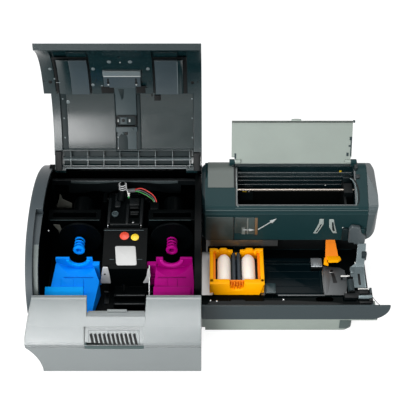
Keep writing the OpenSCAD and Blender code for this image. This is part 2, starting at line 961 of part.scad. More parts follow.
module feeder_bed() {
  color(black) difference() {
    union() {
      slab(feeder_left, tub_right, -lip_front + lip_depth, feeder_back, bed_z - 3, bed_z);
      // glossy shelf behind the lip
      slab(feeder_left, tub_right - wall, -lip_front + lip_depth, shelf_y, bed_z, lip_top - 0.3);
      // small stop beside the tray
      slab(79.3, 94, shelf_y - 1, -79, bed_z + 3.2, 61);
      // posts for the end roller
      slab(195.5, 203, -96.9, -94.2, bed_z, 63);
      slab(195.5, 203, -71.4, -69, bed_z, 63);
    }
    rod_y(-96.2, -60, 199.2, end_roller_z, 1.5 + run_gap);
    slab(36.5, 64, -18, 57, 40, 60);
    slab(tub_right - wall, tub_right + 1, -lip_front, -84, 40, 60);
    slab(side_x, tub_right + 1, side_front, side_back, 40, 60);
    slab(8, 72, -90, -36, 40, bed_z + 1);
  }
}

module bed_plates() {
  plate = 1.5;
  color(steel) {
    // silver strip at the left of the bed
    slab(feeder_left, cassette_x0 + 5.5, -96.5, -15, bed_z, bed_z + plate);
    slab(cassette_x1 - 5, 78.8, -96.5, -30, bed_z, bed_z + plate);
    // guide plate at the right of the tray
    difference() {
      along_z(bed_z, bed_z + plate) polygon([[161.2, -96.5], [193, -96.5], [193.5, -50],
        [161.2, -42]]);
      slab(174, 180, -72, -54, bed_z - 1, bed_z + 5);
      rod_z(bed_z - 1, bed_z + 5, 174, -50, 1.8);
    }
    // bright strip under the hood's left half
    slab(feeder_left + 1, 99, -21.5, -19.5, 74, hood_low - 0.3);
    slab(feeder_left + 1, feeder_left + 4, -19.5, -15.2, 74, hood_low - 0.3);
    slab(feeder_left + 1, feeder_left + 4, -17.2, -15.2, bed_z + plate, 74);
    slab(96, 99, -19.5, -10.9, 74, hood_low - 0.3);
  }
}

module card_tray() {
  color(black) {
    difference() {
      slab(79.2, 161, -95.8, -36, bed_z, bed_z + 3.2);
      slab(82, 158, -92.6, -39, bed_z + 1, bed_z + 4);
    }
    // spring clip at the tray's rear corner
    slab(146, 160, -45, -36, bed_z + 3.2, bed_z + 5);
  }
  color(steel) {
    slab(145.5, 160, -36, -31, bed_z, bed_z + 7);
    slab(145.5, 160, -42, -36, bed_z + 6, bed_z + 7);
  }
}

// ---------- card feeder, hood ----------

// side outline of the hood
module hood_outline() {
  crown = 22;
  polygon([[-22, hood_low], [-18.6, 136], [-10.4, 145.8], [35.9, 165.3], [44, 160],
    [feeder_back, 145], [feeder_back, bed_z + gap], [feeder_back - 20, bed_z + gap],
    [10, hood_low]]);
  translate([44, 145]) circle(crown);
  translate([-6.2, 134.8]) circle(11.6);
}

module hood_inside() {
  polygon([[-30, hood_low - 5], [-18.8, hood_low - 5], [-15.6, 134], [-8.4, 142.8],
    [37, 162], [44, 158], [feeder_back - wall, 143], [feeder_back - wall, 40], [10, 40]]);
  translate([44, 145]) circle(19);
  translate([-6.2, 134.8]) circle(8.6);
}

module hood_shell() {
  ear = 3.6;
  color(slate) {
    difference() {
      union() {
        along_x(feeder_left, end_cap_x) hood_outline();
        // raised block at the right of the front
        slab(198, 219, -24.5, -17, hood_low - 2, 112);
      }
      along_x(feeder_left + wall, end_cap_x - wall) difference() {
        hood_inside();
        translate([-40, 0]) square([21.4, hood_low]);
      }
      // hopper opening
      slab(lid_x0 + 5, lid_x1 + 2, hopper_y0 - 2, hopper_y1 + 2, 130, 190);
      // seam line across the front
      along_x(-10, 240) translate([-19.5, 138.5]) rotate(20) square([1.6, 0.8]);
      // chamfer at the upper left
      translate([feeder_left - 1, -40, 159]) rotate([0, -45, 0]) cube([20, 140, 20]);
      // doorway for the card at the left, and for the pick roller
      slab(feeder_left - 1, feeder_left + wall + 1, -20, 20, 40, 64);
    }
    // ears for the lid's pins
    for (x = [30, 200.5])
      difference() {
        union() {
          rod_x(x, x + 7.5, lid_axis_y, lid_axis_z, ear);
          slab(x, x + 7.5, lid_axis_y - ear, lid_axis_y + ear, 165, lid_axis_z);
        }
        rod_x(x - 1, x + 9, lid_axis_y, lid_axis_z, 1.51);
        along_x(x - 1, x + 9) hood_outline();
      }
  }
}

module hood_end_cap() {
  front_r = 12;
  back_r = 15;
  shoulder_z = 150.5;
  under_r = 20;
  color(slate) difference() {
    union() {
      along_x(end_cap_x + gap, feeder_right) hood_outline();
      // foot of the cap's back wall
      slab(end_cap_x + gap, feeder_right, 52, feeder_back, bed_z + gap, 80);
    }
    slab(end_cap_x, feeder_right - 6, -6, 48, 60, 140);
    // the front and back edges are rounded off, and the shoulder is chamfered
    difference() {
      slab(feeder_right - front_r, feeder_right + 1, -40, -9.5, 40, 200);
      rod_z(39, 201, feeder_right - front_r, -9.5, front_r);
    }
    difference() {
      slab(feeder_right - back_r, feeder_right + 1, 51, 80, 40, 200);
      rod_z(39, 201, feeder_right - back_r, 51, back_r);
    }
    translate([feeder_right + 1, -42, shoulder_z]) rotate([0, -45, 0]) cube([40, 130, 40]);
    // so is the lower front corner, beside the bed
    difference() {
      slab(feeder_right - under_r, feeder_right + 1, -41, 20, 60, hood_low + under_r);
      rod_y(-42, 21, feeder_right - under_r, hood_low + under_r, under_r);
    }
  }
}

module hopper_trim() {
  color(slate) {
    // thin panel at the left of the lid
    translate([0, lid_axis_y, lid_axis_z]) rotate([slope, 0, 0])
      slab(feeder_left + 2.5, 31.5, -37, -16, -0.5, 0.6);
  }
}

module hopper_liner() {
  x0 = hopper_x0 - 2.5;
  x1 = hopper_x1 + 2.5;
  color(black) difference() {
    along_x(x0, x1) intersection() {
      translate([hopper_y0 - 1.8, hopper_floor - 3]) square([hopper_y1 - hopper_y0 + 3.6, 140]);
      union() {
        hood_outline();
        translate([-20, 40]) square([80, 80]);
      }
    }
    difference() {
      slab(hopper_x0, hopper_x1, hopper_y0, hopper_y1, hopper_floor, 190);
      // ribs across the rear wall
      for (z = [136, 148])
        slab(hopper_x0, hopper_x1, hopper_y1 - 0.8, hopper_y1 + 1, z, z + 2);
    }
    // window for the pick roller
    slab(hopper_x0, 60.5, -7, 44, 50, 60);
    slab(36, 64, -30, 80, 50, 56);
    // way out for the bottom card
    slab(30, hopper_x0 + 1, hopper_y0, hopper_y1, hopper_floor, hopper_floor + 4);
    rod_x(30, 220, rod_y, rod_z, rod_radius + 0.01);
  }
}

module slide_rods() {
  color(steel) {
    rod_x(hopper_x0 - 2.4, hopper_x1 + 2.4, rod_y, rod_z, rod_radius);
    rod_x(99.2, end_cap_x - wall - 0.2, gate_rod_y, gate_rod_z,
      gate_rod_radius);
    slab(99.2, 102, gate_rod_y - 1.6, hopper_y0 - 1.8, hood_low - 3, gate_rod_z);
  }
}

module side_bracket() {
  plate = 2;
  color([0.62, 0.66, 0.66]) {
    difference() {
      slab(204, 221, -82, -39, bed_z, bed_z + plate);
      slab(211.5, 214.5, -77, -58, bed_z - 1, bed_z + 5);
    }
    slab(211, 221.5, -41, -39, bed_z + plate, hood_low - 2.2);
    slab(211, 221.5, -41, -24.6, hood_low - 4, hood_low - 2.2);
  }
  color(steel) {
    // latch pins on a small block at the front corner
    rod_x(208, 225, -86, bed_z + 4, 1.4);
    rod_x(208, 225, -94.5, bed_z + 4, 1.4);
    rod_x(186, 198, -66, bed_z + 8, 1);
  }
  color(black) {
    slab(210, 222, -96.4, -83, bed_z, bed_z + 2.6);
    slab(187, 189, -67.5, -64.5, bed_z + 1.5, bed_z + 7);
    slab(195.5, 197.5, -67.5, -64.5, bed_z, bed_z + 7);
  }
}

module end_roller() {
  color(black) {
    rod_y(-93.8, -71.8, 199.2, end_roller_z, 4.6);
    rod_y(-96, -69.3, 199.2, end_roller_z, 1.5);
  }
}

module pick_roller() {
  color([0.15, 0.15, 0.16]) difference() {
    rod_y(-5.5, 42.5, 50, 49.5, 8.6);
    rod_y(-6, 43, 50, 49.5, 2.51);
  }
  color(steel) rod_y(-17, 56, 50, 49.5, 2.5);
}

// ---------- cleaning cassette ----------

module cleaning_cassette() {
  grip_x0 = 27;
  grip_x1 = 54;
  front_y = -97;
  front_top = -90;
  rib_count = 5;
  color(orange) difference() {
    intersection() {
      along_x(cassette_x0, cassette_x1) polygon([[cassette_back, cassette_z0],
        [cassette_back, cassette_z1], [front_top, cassette_z1], [front_y, cassette_z0]]);
      // the ends taper towards the bottom of the front
      along_y(-110, 0) polygon([[cassette_x0 + 6, cassette_z0], [cassette_x1 - 6, cassette_z0],
        [cassette_x1, cassette_z0 + 14], [cassette_x1, 90], [cassette_x0, 90],
        [cassette_x0, cassette_z0 + 14]]);
    }
    // inside, open at the top and towards the card below
    slab(cassette_x0 + 6, cassette_x1 - 6, -86.5, -34.5, cassette_z0 + 9, 90);
    slab(cassette_x0 + 10, cassette_x1 - 10, -86.5, -34.5, 40, 90);
    // way for the card under the rollers
    slab(cassette_x0 - 1, cassette_x1 + 1, -86.5, -34.5, 40, 61);
    // thumb grip
    difference() {
      intersection() {
        slab(grip_x0, grip_x1, -100, -89.8, 66, 90);
        rod_y(-100, -80, (grip_x0 + grip_x1) / 2, 79.5, 13.5);
      }
      for (i = [0 : rib_count - 1])
        slab(31.4 + i * 4.6, 32.8 + i * 4.6, -100, -88, 60, 78.2);
    }
    // roller bores and slots for the rods
    for (x = [roller_left_x, roller_right_x])
      rod_y(-90, -31, x, roller_z, 2.5 + run_gap);
    // notched rear rim
    slab(32, 46, -36, -29, 75, 80);
    rod_y(-36, -29, 22.5, 80, 8);
    rod_y(-36, -29, 56.5, 80, 8);
  }
}

module cleaning_roller(x) {
  color([0.93, 0.91, 0.88]) difference() {
    rod_y(-85.5, -35.5, x, roller_z, roller_radius);
    rod_y(-87, -34, x, roller_z, 2.51);
  }
  color(steel) rod_y(-89.5, -31.5, x, roller_z, 2.5);
}

module cleaning_roller_left() {
  cleaning_roller(roller_left_x);
}

module cleaning_roller_right() {
  cleaning_roller(roller_right_x);
}

module contact_rods() {
  color([0.15, 0.16, 0.17]) for (x = [36.2, 42.8])
    rod_y(-86.4, -34.6, x, 72, 2.7);
}

// ---------- small moving pieces of the feeder ----------

module gate_lever() {
  color(orange) {
    difference() {
      rod_x(166, 181, gate_rod_y, gate_rod_z, 3.2);
      rod_x(160, 190, gate_rod_y, gate_rod_z, gate_rod_radius + run_gap);
    }
    along_x(167, 180) difference() {
      polygon([[-16.6, 93], [-12.3, 93], [-13.4, 82], [-38, 67], [-40.5, 70], [-16.8, 84.5]]);
      translate([gate_rod_y, gate_rod_z]) circle(2.6);
    }
    along_x(166, 187) polygon([[-36, 64], [-36.5, 69], [-45, 72.5], [-47, 70], [-41, 64]]);
    slab(161, 167, -41, -33, 63.5, 68);
    slab(161, 180, -38.5, -33, 66, 69.5);
  }
}

module hopper_lid() {
  thickness = 2.8;
  lid_edge = lid_x1 - 3.8;
  color(pale) translate([0, lid_axis_y, lid_axis_z]) rotate([slope - lid_open, 0, 0])
    difference() {
      union() {
        slab(lid_x0, lid_edge, -lid_length, -6, 0.6, thickness + 0.6);
        slab(38, 200, -6.5, 3, 0.6, thickness);
        slab(lid_x0, lid_edge, -lid_length, -lid_length + 3, -0.3, 0.6);
        // arms to the pins
        for (x = [38, 192.4]) {
          slab(x, x + 7.6, -8, 0, 0.6, thickness);
          rod_x(x, x + 7.6, 0, 0, 3.1);
        }
        // handle nub
        slab(116, 129, -lid_length - 2.5, -lid_length, 0.6, 3);
      }
      for (x = [38, 192.4])
        rod_x(x - 1, x + 9, 0, 0, 1.5 + run_gap);
    }
}

module card_pusher() {
  x0 = 190;
  x1 = 202;
  color(black) difference() {
    union() {
      slab(x0, x0 + 3, hopper_y0 + 1, hopper_y1 - 1.6, hopper_floor + 1, 141);
      slab(x0, x1, rod_y - 9, rod_y + 9, 118, 150);
      slab(x0, x0 + 8, hopper_y0 + 6, hopper_y1 - 6, 90, 96);
    }
    rod_x(x0 - 1, x1 + 1, rod_y, rod_z, rod_radius + run_gap);
  }
}

module coupling_block() {
  color(black) {
    slab(station_right, feeder_left, -100, 40, 12, 24);
    slab(station_right, feeder_left, -100, -80, 24, 46);
  }
}

case_base();
rubber_feet();
front_plinth();
front_panel();
vent_grille();
left_side_cover();
rear_cover();
inner_frame();
bulkhead_right();
rear_rail();
bearing_beam();
hinge_pins();
bridge_cover();
blank_label();
marker_dots();
supply_cradle();
takeup_cradle();
wire_bail();
leaf_clips();
head_mount();
head_harness();
drive_motors();
main_board();
power_inlet();
power_button();
top_cover();
cover_liner();
cover_channel();
cover_bracket();
head_carriage();
print_head();
head_spring();
supply_spindle();
supply_disc();
takeup_spindle();
takeup_disc();
platen_roller();
platen_shaft();
feeder_base();
feeder_tub();
feeder_bed();
bed_plates();
card_tray();
hood_shell();
hood_end_cap();
hopper_trim();
hopper_liner();
slide_rods();
side_bracket();
end_roller();
pick_roller();
cleaning_cassette();
cleaning_roller_left();
cleaning_roller_right();
contact_rods();
gate_lever();
hopper_lid();
card_pusher();
coupling_block();
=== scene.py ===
from math import cos, pi, radians, sin
import bmesh
import bpy
import numpy as np
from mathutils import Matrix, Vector


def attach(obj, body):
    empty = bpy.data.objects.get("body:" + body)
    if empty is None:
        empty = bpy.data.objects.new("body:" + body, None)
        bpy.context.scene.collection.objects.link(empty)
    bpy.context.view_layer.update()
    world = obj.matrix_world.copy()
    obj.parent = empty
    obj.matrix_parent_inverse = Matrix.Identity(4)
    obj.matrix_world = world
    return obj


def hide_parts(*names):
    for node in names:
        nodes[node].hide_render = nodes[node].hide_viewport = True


# Desktop card printer: materials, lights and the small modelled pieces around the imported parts.
# Metres; x right, y back, z up.

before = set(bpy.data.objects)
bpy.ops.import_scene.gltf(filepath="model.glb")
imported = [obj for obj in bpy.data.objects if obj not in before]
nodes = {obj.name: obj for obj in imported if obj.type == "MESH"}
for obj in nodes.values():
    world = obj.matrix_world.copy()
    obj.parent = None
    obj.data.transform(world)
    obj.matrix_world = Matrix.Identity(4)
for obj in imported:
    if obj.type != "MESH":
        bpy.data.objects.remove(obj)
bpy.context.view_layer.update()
mm = 0.001
sharpFrom = 38      # edges that turn by more than this many degrees stay sharp
weldGap = 1e-6
print("frame loaded:", len(nodes), "nodes")


# a shape is (points, faces), in metres
def gridFaces(rows, columns):
    # quads between neighbouring rows of a grid, the last column joined to the first
    r = np.arange(rows - 1)[:, None] * columns
    c = np.arange(columns)[None, :]
    n = (c + 1) % columns
    return np.stack([r + c, r + n, r + columns + n, r + columns + c], -1).reshape(-1, 4).tolist()


def skinned(rings, capped=True):
    # closed rings of equal count joined in order, with a face over each end
    count, columns = rings.shape[:2]
    faces = gridFaces(count, columns)
    if capped:
        faces.append(list(range(columns))[::-1])
        faces.append(list(range((count - 1) * columns, count * columns)))
    return rings.reshape(-1, 3), faces


def joined(*shapes):
    # several shapes as one, with the faces renumbered
    points, faces, start = [], [], 0
    for p, f in shapes:
        points.append(p)
        faces += [[start + i for i in face] for face in f]
        start += len(p)
    return np.concatenate(points), faces


def moved(shape, by):
    # a shape carried by (x, y, z) in metres
    return shape[0] + np.array(by, float), shape[1]


def turned(shape, axis, degrees, about=(0, 0, 0)):
    # Rodrigues: p cos a + (n x p) sin a + n (n.p)(1 - cos a)
    n = np.array(axis, float) / np.linalg.norm(axis)
    a = radians(degrees)
    p = shape[0] - np.array(about, float)
    q = p * cos(a) + np.cross(n, p) * sin(a) + np.outer(p @ n, n) * (1 - cos(a))
    return q + np.array(about, float), shape[1]


def rounded(corners, radius, steps=5):
    # each corner of an outline becomes an arc tangent to its two sides: the arc runs between
    # the tangent points as a blend p = (1-t)^2 a + 2t(1-t) corner + t^2 b
    p = np.array(corners, float)
    r = np.broadcast_to(np.array(radius, float), (len(p),))[:, None]
    before, after = np.roll(p, 1, 0) - p, np.roll(p, -1, 0) - p
    lb, la = np.linalg.norm(before, axis=1)[:, None], np.linalg.norm(after, axis=1)[:, None]
    cosine = np.clip(((before / lb) * (after / la)).sum(1), -0.999, 0.999)[:, None]
    reach = np.minimum(r / np.tan(np.arccos(cosine) / 2), 0.49 * np.minimum(lb, la))
    a, b = p + before / lb * reach, p + after / la * reach
    t = np.linspace(0, 1, steps)[None, :, None]
    arcs = (1 - t) ** 2 * a[:, None] + 2 * t * (1 - t) * p[:, None] + t ** 2 * b[:, None]
    return arcs.reshape(-1, 2)


def inset(outline, depth):
    # every point moves inward by depth along the mean of its two side normals
    def unit(v):
        return v / (np.linalg.norm(v, axis=1)[:, None] + 1e-12)
    before, after = outline - np.roll(outline, 1, 0), np.roll(outline, -1, 0) - outline
    mean = unit(sum(unit(np.stack([-side[:, 1], side[:, 0]], -1)) for side in (before, after)))
    x, y = outline[:, 0], outline[:, 1]
    area = (x * np.roll(y, -1) - np.roll(x, -1) * y).sum()
    return outline + mean * depth * (1 if area > 0 else -1)


def inAxisOrder(along, u, v, axis):
    # the value along an axis and the two across it, as x, y, z
    return {"x": (along, u, v), "y": (u, along, v), "z": (u, v, along)}[axis]


def placed(outline, level, axis):
    # a flat outline (u, v) set at a level along x, y or z
    u, v = outline[:, 0], outline[:, 1]
    return np.stack(inAxisOrder(np.full(len(u), level), u, v, axis), -1)


def plate(outline, low, high, axis="z", edge=0.3):
    # an outline carried straight from low to high, its rim a quarter round at both ends: at an angle t the inset
    # is edge (1 - sin t) and the level low + edge (1 - cos t) (mm)
    outline = np.array(outline, float)
    a = np.linspace(0, pi / 2, 4)
    rings = [placed(inset(outline, edge * (1 - sin(t))), low + edge * (1 - cos(t)), axis) for t in a]
    rings += [placed(inset(outline, edge * (1 - cos(t))), high - edge * (1 - sin(t)), axis) for t in a]
    return skinned(np.array(rings) * mm)


def box(x0, x1, y0, y1, z0, z1, radius=0.6, edge=0.3, axis="z"):
    # a moulded block from its six limits, corners rounded in plan (mm)
    spans = {"x": (y0, y1, z0, z1, x0, x1), "y": (x0, x1, z0, z1, y0, y1), "z": (x0, x1, y0, y1, z0, z1)}
    a0, a1, b0, b1, low, high = spans[axis]
    outline = rounded([(a0, b0), (a1, b0), (a1, b1), (a0, b1)], radius)
    return plate(outline, low, high, axis, edge)


def turnedProfile(profile, centre, axis="y", sides=48, capped=True):
    # a profile of (distance along, radius) turned about an axis through centre (mm)
    s, r = np.array(profile, float).T
    a = np.linspace(0, 2 * pi, sides, endpoint=False)
    along = np.repeat(s[:, None], sides, 1)
    u, v = r[:, None] * np.cos(a), r[:, None] * np.sin(a)
    return skinned((np.stack(inAxisOrder(along, u, v, axis), -1) + np.array(centre, float)) * mm, capped)


def smoothPath(points, count):
    # a Catmull-Rom curve through the points, sampled evenly in its parameter
    p = np.array(points, float)
    p = np.vstack([2 * p[0] - p[1], p, 2 * p[-1] - p[-2]])
    t = np.linspace(0, len(p) - 3 - 1e-9, count)
    i = t.astype(int)
    f = (t - i)[:, None]
    a, b, c, d = p[i], p[i + 1], p[i + 2], p[i + 3]
    return 0.5 * (2 * b + (c - a) * f + (2 * a - 5 * b + 4 * c - d) * f ** 2 + (3 * b - a - 3 * c + d) * f ** 3)


def tube(path, radius, sides=12, side=(0.31, 0.12, 0.94)):
    # a circle carried along a path: p = path + r (cos a u + sin a v), where u and v are square to the
    # tangent and to each other, worked out from a fixed side; radius may change along the path (mm)
    tangent = np.gradient(path, axis=0)
    tangent /= np.linalg.norm(tangent, axis=1)[:, None]
    u = np.cross(tangent, side)
    u /= np.linalg.norm(u, axis=1)[:, None]
    v = np.cross(tangent, u)
    a = np.linspace(0, 2 * pi, sides, endpoint=False)[None, :, None]
    r = np.broadcast_to(np.array(radius, float), (len(path),))[:, None, None]
    return skinned((path[:, None] + r * (np.cos(a) * u[:, None] + np.sin(a) * v[:, None])) * mm)


def coil(centre, axis, low, high, radius, wire, turns, sides=8, perTurn=22):
    # a helix about an axis, its wire a small tube (mm)
    t = np.linspace(0, 1, int(turns * perTurn))
    a = 2 * pi * turns * t
    along = low + (high - low) * t
    u, v = radius * np.cos(a), radius * np.sin(a)
    path = np.stack(inAxisOrder(along, u, v, axis), -1) + np.array(centre, float)
    return tube(path, wire, sides, {"x": (1, 0, 0), "y": (0, 1, 0), "z": (0, 0, 1)}[axis])


def addPiece(name, finish, *shapes, body="frame", replaces=()):
    # shapes as one mesh object in one finish, riding on a body
    points, faces = joined(*shapes)
    mesh = bpy.data.meshes.new(name)
    mesh.from_pydata(points.tolist(), [], faces)
    work = bmesh.new()
    work.from_mesh(mesh)
    bmesh.ops.remove_doubles(work, verts=work.verts, dist=weldGap)
    bmesh.ops.recalc_face_normals(work, faces=work.faces)
    work.to_mesh(mesh)
    work.free()
    mesh.shade_smooth()
    mesh.set_sharp_from_angle(angle=radians(sharpFrom))
    mesh.materials.append(materials[finish])
    piece = bpy.data.objects.new(name, mesh)
    bpy.context.scene.collection.objects.link(piece)
    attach(piece, body)
    if replaces:
        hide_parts(*replaces)
    return piece


# shader groups
def newGroup(name, inputs, outputs):
    # an empty shader group with its named inputs and outputs
    group = bpy.data.node_groups.new(name, "ShaderNodeTree")
    for label, kind, value in inputs:
        socket = group.interface.new_socket(label, in_out="INPUT", socket_type="NodeSocket" + kind)
        if value is not None:
            socket.default_value = value
    for label, kind in outputs:
        group.interface.new_socket(label, in_out="OUTPUT", socket_type="NodeSocket" + kind)
    return group, group.nodes.new("NodeGroupInput"), group.nodes.new("NodeGroupOutput")


def addMath(tree, operation, *values, clamp=False):
    # a math node whose inputs are sockets or plain numbers
    node = tree.nodes.new("ShaderNodeMath")
    node.operation, node.use_clamp = operation, clamp
    for socket, value in zip(node.inputs, values):
        if isinstance(value, (int, float)):
            socket.default_value = value
        else:
            tree.links.new(value, socket)
    return node.outputs[0]


def makeGrainGroup():
    # fine moulded grain as a height, and slow cloudy variation as a tone from 0 to 1
    group, entry, leave = newGroup("mouldGrain", [("Vector", "Vector", None), ("Scale", "Float", 1500.0)],
                                   [("Height", "Float"), ("Tone", "Float")])
    fine = group.nodes.new("ShaderNodeTexNoise")
    fine.inputs["Detail"].default_value = 2
    slow = group.nodes.new("ShaderNodeTexNoise")
    slow.inputs["Scale"].default_value = 26
    slow.inputs["Detail"].default_value = 4
    group.links.new(entry.outputs["Vector"], fine.inputs["Vector"])
    group.links.new(entry.outputs["Vector"], slow.inputs["Vector"])
    group.links.new(entry.outputs["Scale"], fine.inputs["Scale"])
    group.links.new(fine.outputs[0], leave.inputs["Height"])
    group.links.new(slow.outputs[0], leave.inputs["Tone"])
    return group


def makeEdgeGroup():
    # a rounded normal near edges, and a mask that is 1 on them: 1 - rounded . flat, scaled; the mask places a
    # painted highlight
    group, entry, leave = newGroup("softEdge", [("Gain", "Float", 3.0)], [("Normal", "Vector"), ("Edge", "Float")])
    bevel = group.nodes.new("ShaderNodeBevel")
    bevel.samples = 6
    bevel.inputs["Radius"].default_value = 0.0007
    flat = group.nodes.new("ShaderNodeNewGeometry")
    dot = group.nodes.new("ShaderNodeVectorMath")
    dot.operation = "DOT_PRODUCT"
    group.links.new(bevel.outputs[0], dot.inputs[0])
    group.links.new(flat.outputs["Normal"], dot.inputs[1])
    away = addMath(group, "SUBTRACT", 1.0, dot.outputs["Value"])
    edge = addMath(group, "MULTIPLY", away, entry.outputs["Gain"], clamp=True)
    group.links.new(bevel.outputs[0], leave.inputs["Normal"])
    group.links.new(edge, leave.inputs["Edge"])
    return group


def makeScuffGroup():
    # thin handling scratches: a stretched noise cut to its highest values
    group, entry, leave = newGroup("handlingScuffs", [("Vector", "Vector", None), ("Amount", "Float", 0.3)],
                                   [("Mask", "Float")])
    stretch = group.nodes.new("ShaderNodeMapping")
    stretch.inputs["Rotation"].default_value = (0.3, 0.2, 0.7)
    stretch.inputs["Scale"].default_value = (900, 60, 300)
    streak = group.nodes.new("ShaderNodeTexNoise")
    streak.inputs["Scale"].default_value = 1
    streak.inputs["Detail"].default_value = 3
    group.links.new(entry.outputs["Vector"], stretch.inputs["Vector"])
    group.links.new(stretch.outputs[0], streak.inputs["Vector"])
    cut = addMath(group, "MULTIPLY", addMath(group, "SUBTRACT", streak.outputs[0], 0.62), 8.0, clamp=True)
    group.links.new(addMath(group, "MULTIPLY", cut, entry.outputs["Amount"]), leave.inputs["Mask"])
    return group


grainGroup, edgeGroup, scuffGroup = makeGrainGroup(), makeEdgeGroup(), makeScuffGroup()


def linear(rgb):
    # 0-255 display values to linear light
    c = np.array(rgb, float) / 255
    return tuple(np.where(c <= 0.04045, c / 12.92, ((c + 0.055) / 1.055) ** 2.4)) + (1.0,)


def placeGroup(tree, group, **values):
    # a group node with its inputs linked or set
    node = tree.nodes.new("ShaderNodeGroup")
    node.node_tree = group
    for key, value in values.items():
        if isinstance(value, (int, float)):
            node.inputs[key].default_value = value
        else:
            tree.links.new(value, node.inputs[key])
    return node


def mixColour(tree, factor, a, b):
    # from colour a at factor 0 to colour b at factor 1
    node = tree.nodes.new("ShaderNodeMix")
    node.data_type = "RGBA"
    tree.links.new(factor, node.inputs[0])
    for index, value in ((6, a), (7, b)):
        if isinstance(value, tuple):
            node.inputs[index].default_value = value
        else:
            tree.links.new(value, node.inputs[index])
    return node.outputs[2]


def makeMaterial(name, colour, cloud=0.10, roughness=0.45, spread=0.10, grain=1500, depth=0.10, edge=0.25,
                 edgeHighlightColour=(205, 210, 210), scuff=0.2, metallic=0.0, specular=0.5, subsurface=0.0, tone=0.6):
    # colour varies slowly by cloud, edges get a painted highlight, grain gives the bump,
    # scuffs raise the roughness, tone sets how light the whole colour is
    material = bpy.data.materials.new(name)
    material.use_nodes = True
    tree = material.node_tree
    surface = tree.nodes["Principled BSDF"]
    coordinates = tree.nodes.new("ShaderNodeTexCoord").outputs["Object"]
    fine = placeGroup(tree, grainGroup, Vector=coordinates, Scale=float(grain))
    soft = placeGroup(tree, edgeGroup, Gain=3.0)
    worn = placeGroup(tree, scuffGroup, Vector=coordinates, Amount=float(scuff))
    base = np.minimum(np.array(linear(colour)[:3]) * tone, 0.95)
    dark, light = tuple(base * (1 - cloud)) + (1.0,), tuple(np.minimum(base * (1 + cloud), 1)) + (1.0,)
    body = mixColour(tree, fine.outputs["Tone"], dark, light)
    edgeHighlightMask = addMath(tree, "MULTIPLY", soft.outputs["Edge"], float(edge))
    body = mixColour(tree, edgeHighlightMask, body, linear(edgeHighlightColour))
    scratched = tuple(np.minimum(base * 1.5 + 0.02, 1)) + (1.0,)
    body = mixColour(tree, addMath(tree, "MULTIPLY", worn.outputs["Mask"], 0.5), body, scratched)
    tree.links.new(body, surface.inputs["Base Color"])
    swing = addMath(tree, "MULTIPLY_ADD", fine.outputs["Tone"], float(spread), roughness - spread / 2)
    rough = addMath(tree, "MULTIPLY_ADD", worn.outputs["Mask"], 0.25, swing, clamp=True)
    tree.links.new(rough, surface.inputs["Roughness"])
    bump = tree.nodes.new("ShaderNodeBump")
    bump.inputs["Strength"].default_value = depth
    bump.inputs["Distance"].default_value = 0.0004
    tree.links.new(fine.outputs["Height"], bump.inputs["Height"])
    tree.links.new(soft.outputs["Normal"], bump.inputs["Normal"])
    tree.links.new(bump.outputs[0], surface.inputs["Normal"])
    surface.inputs["Metallic"].default_value = metallic
    surface.inputs["Specular IOR Level"].default_value = specular
    if subsurface:
        surface.inputs["Subsurface Weight"].default_value = subsurface
        surface.inputs["Subsurface Scale"].default_value = 0.002
    return material


def look(colour, specular=0.5, roughness=0.45, depth=0.1, edge=0.25, edgeHighlightColour=None, **more):
    # display colour, gloss, roughness, bump depth, painted highlight on the edges and its colour, then any other
    # value
    values = dict(more, colour=colour, specular=specular, roughness=roughness, depth=depth, edge=edge)
    return dict(values, edgeHighlightColour=edgeHighlightColour) if edgeHighlightColour else values


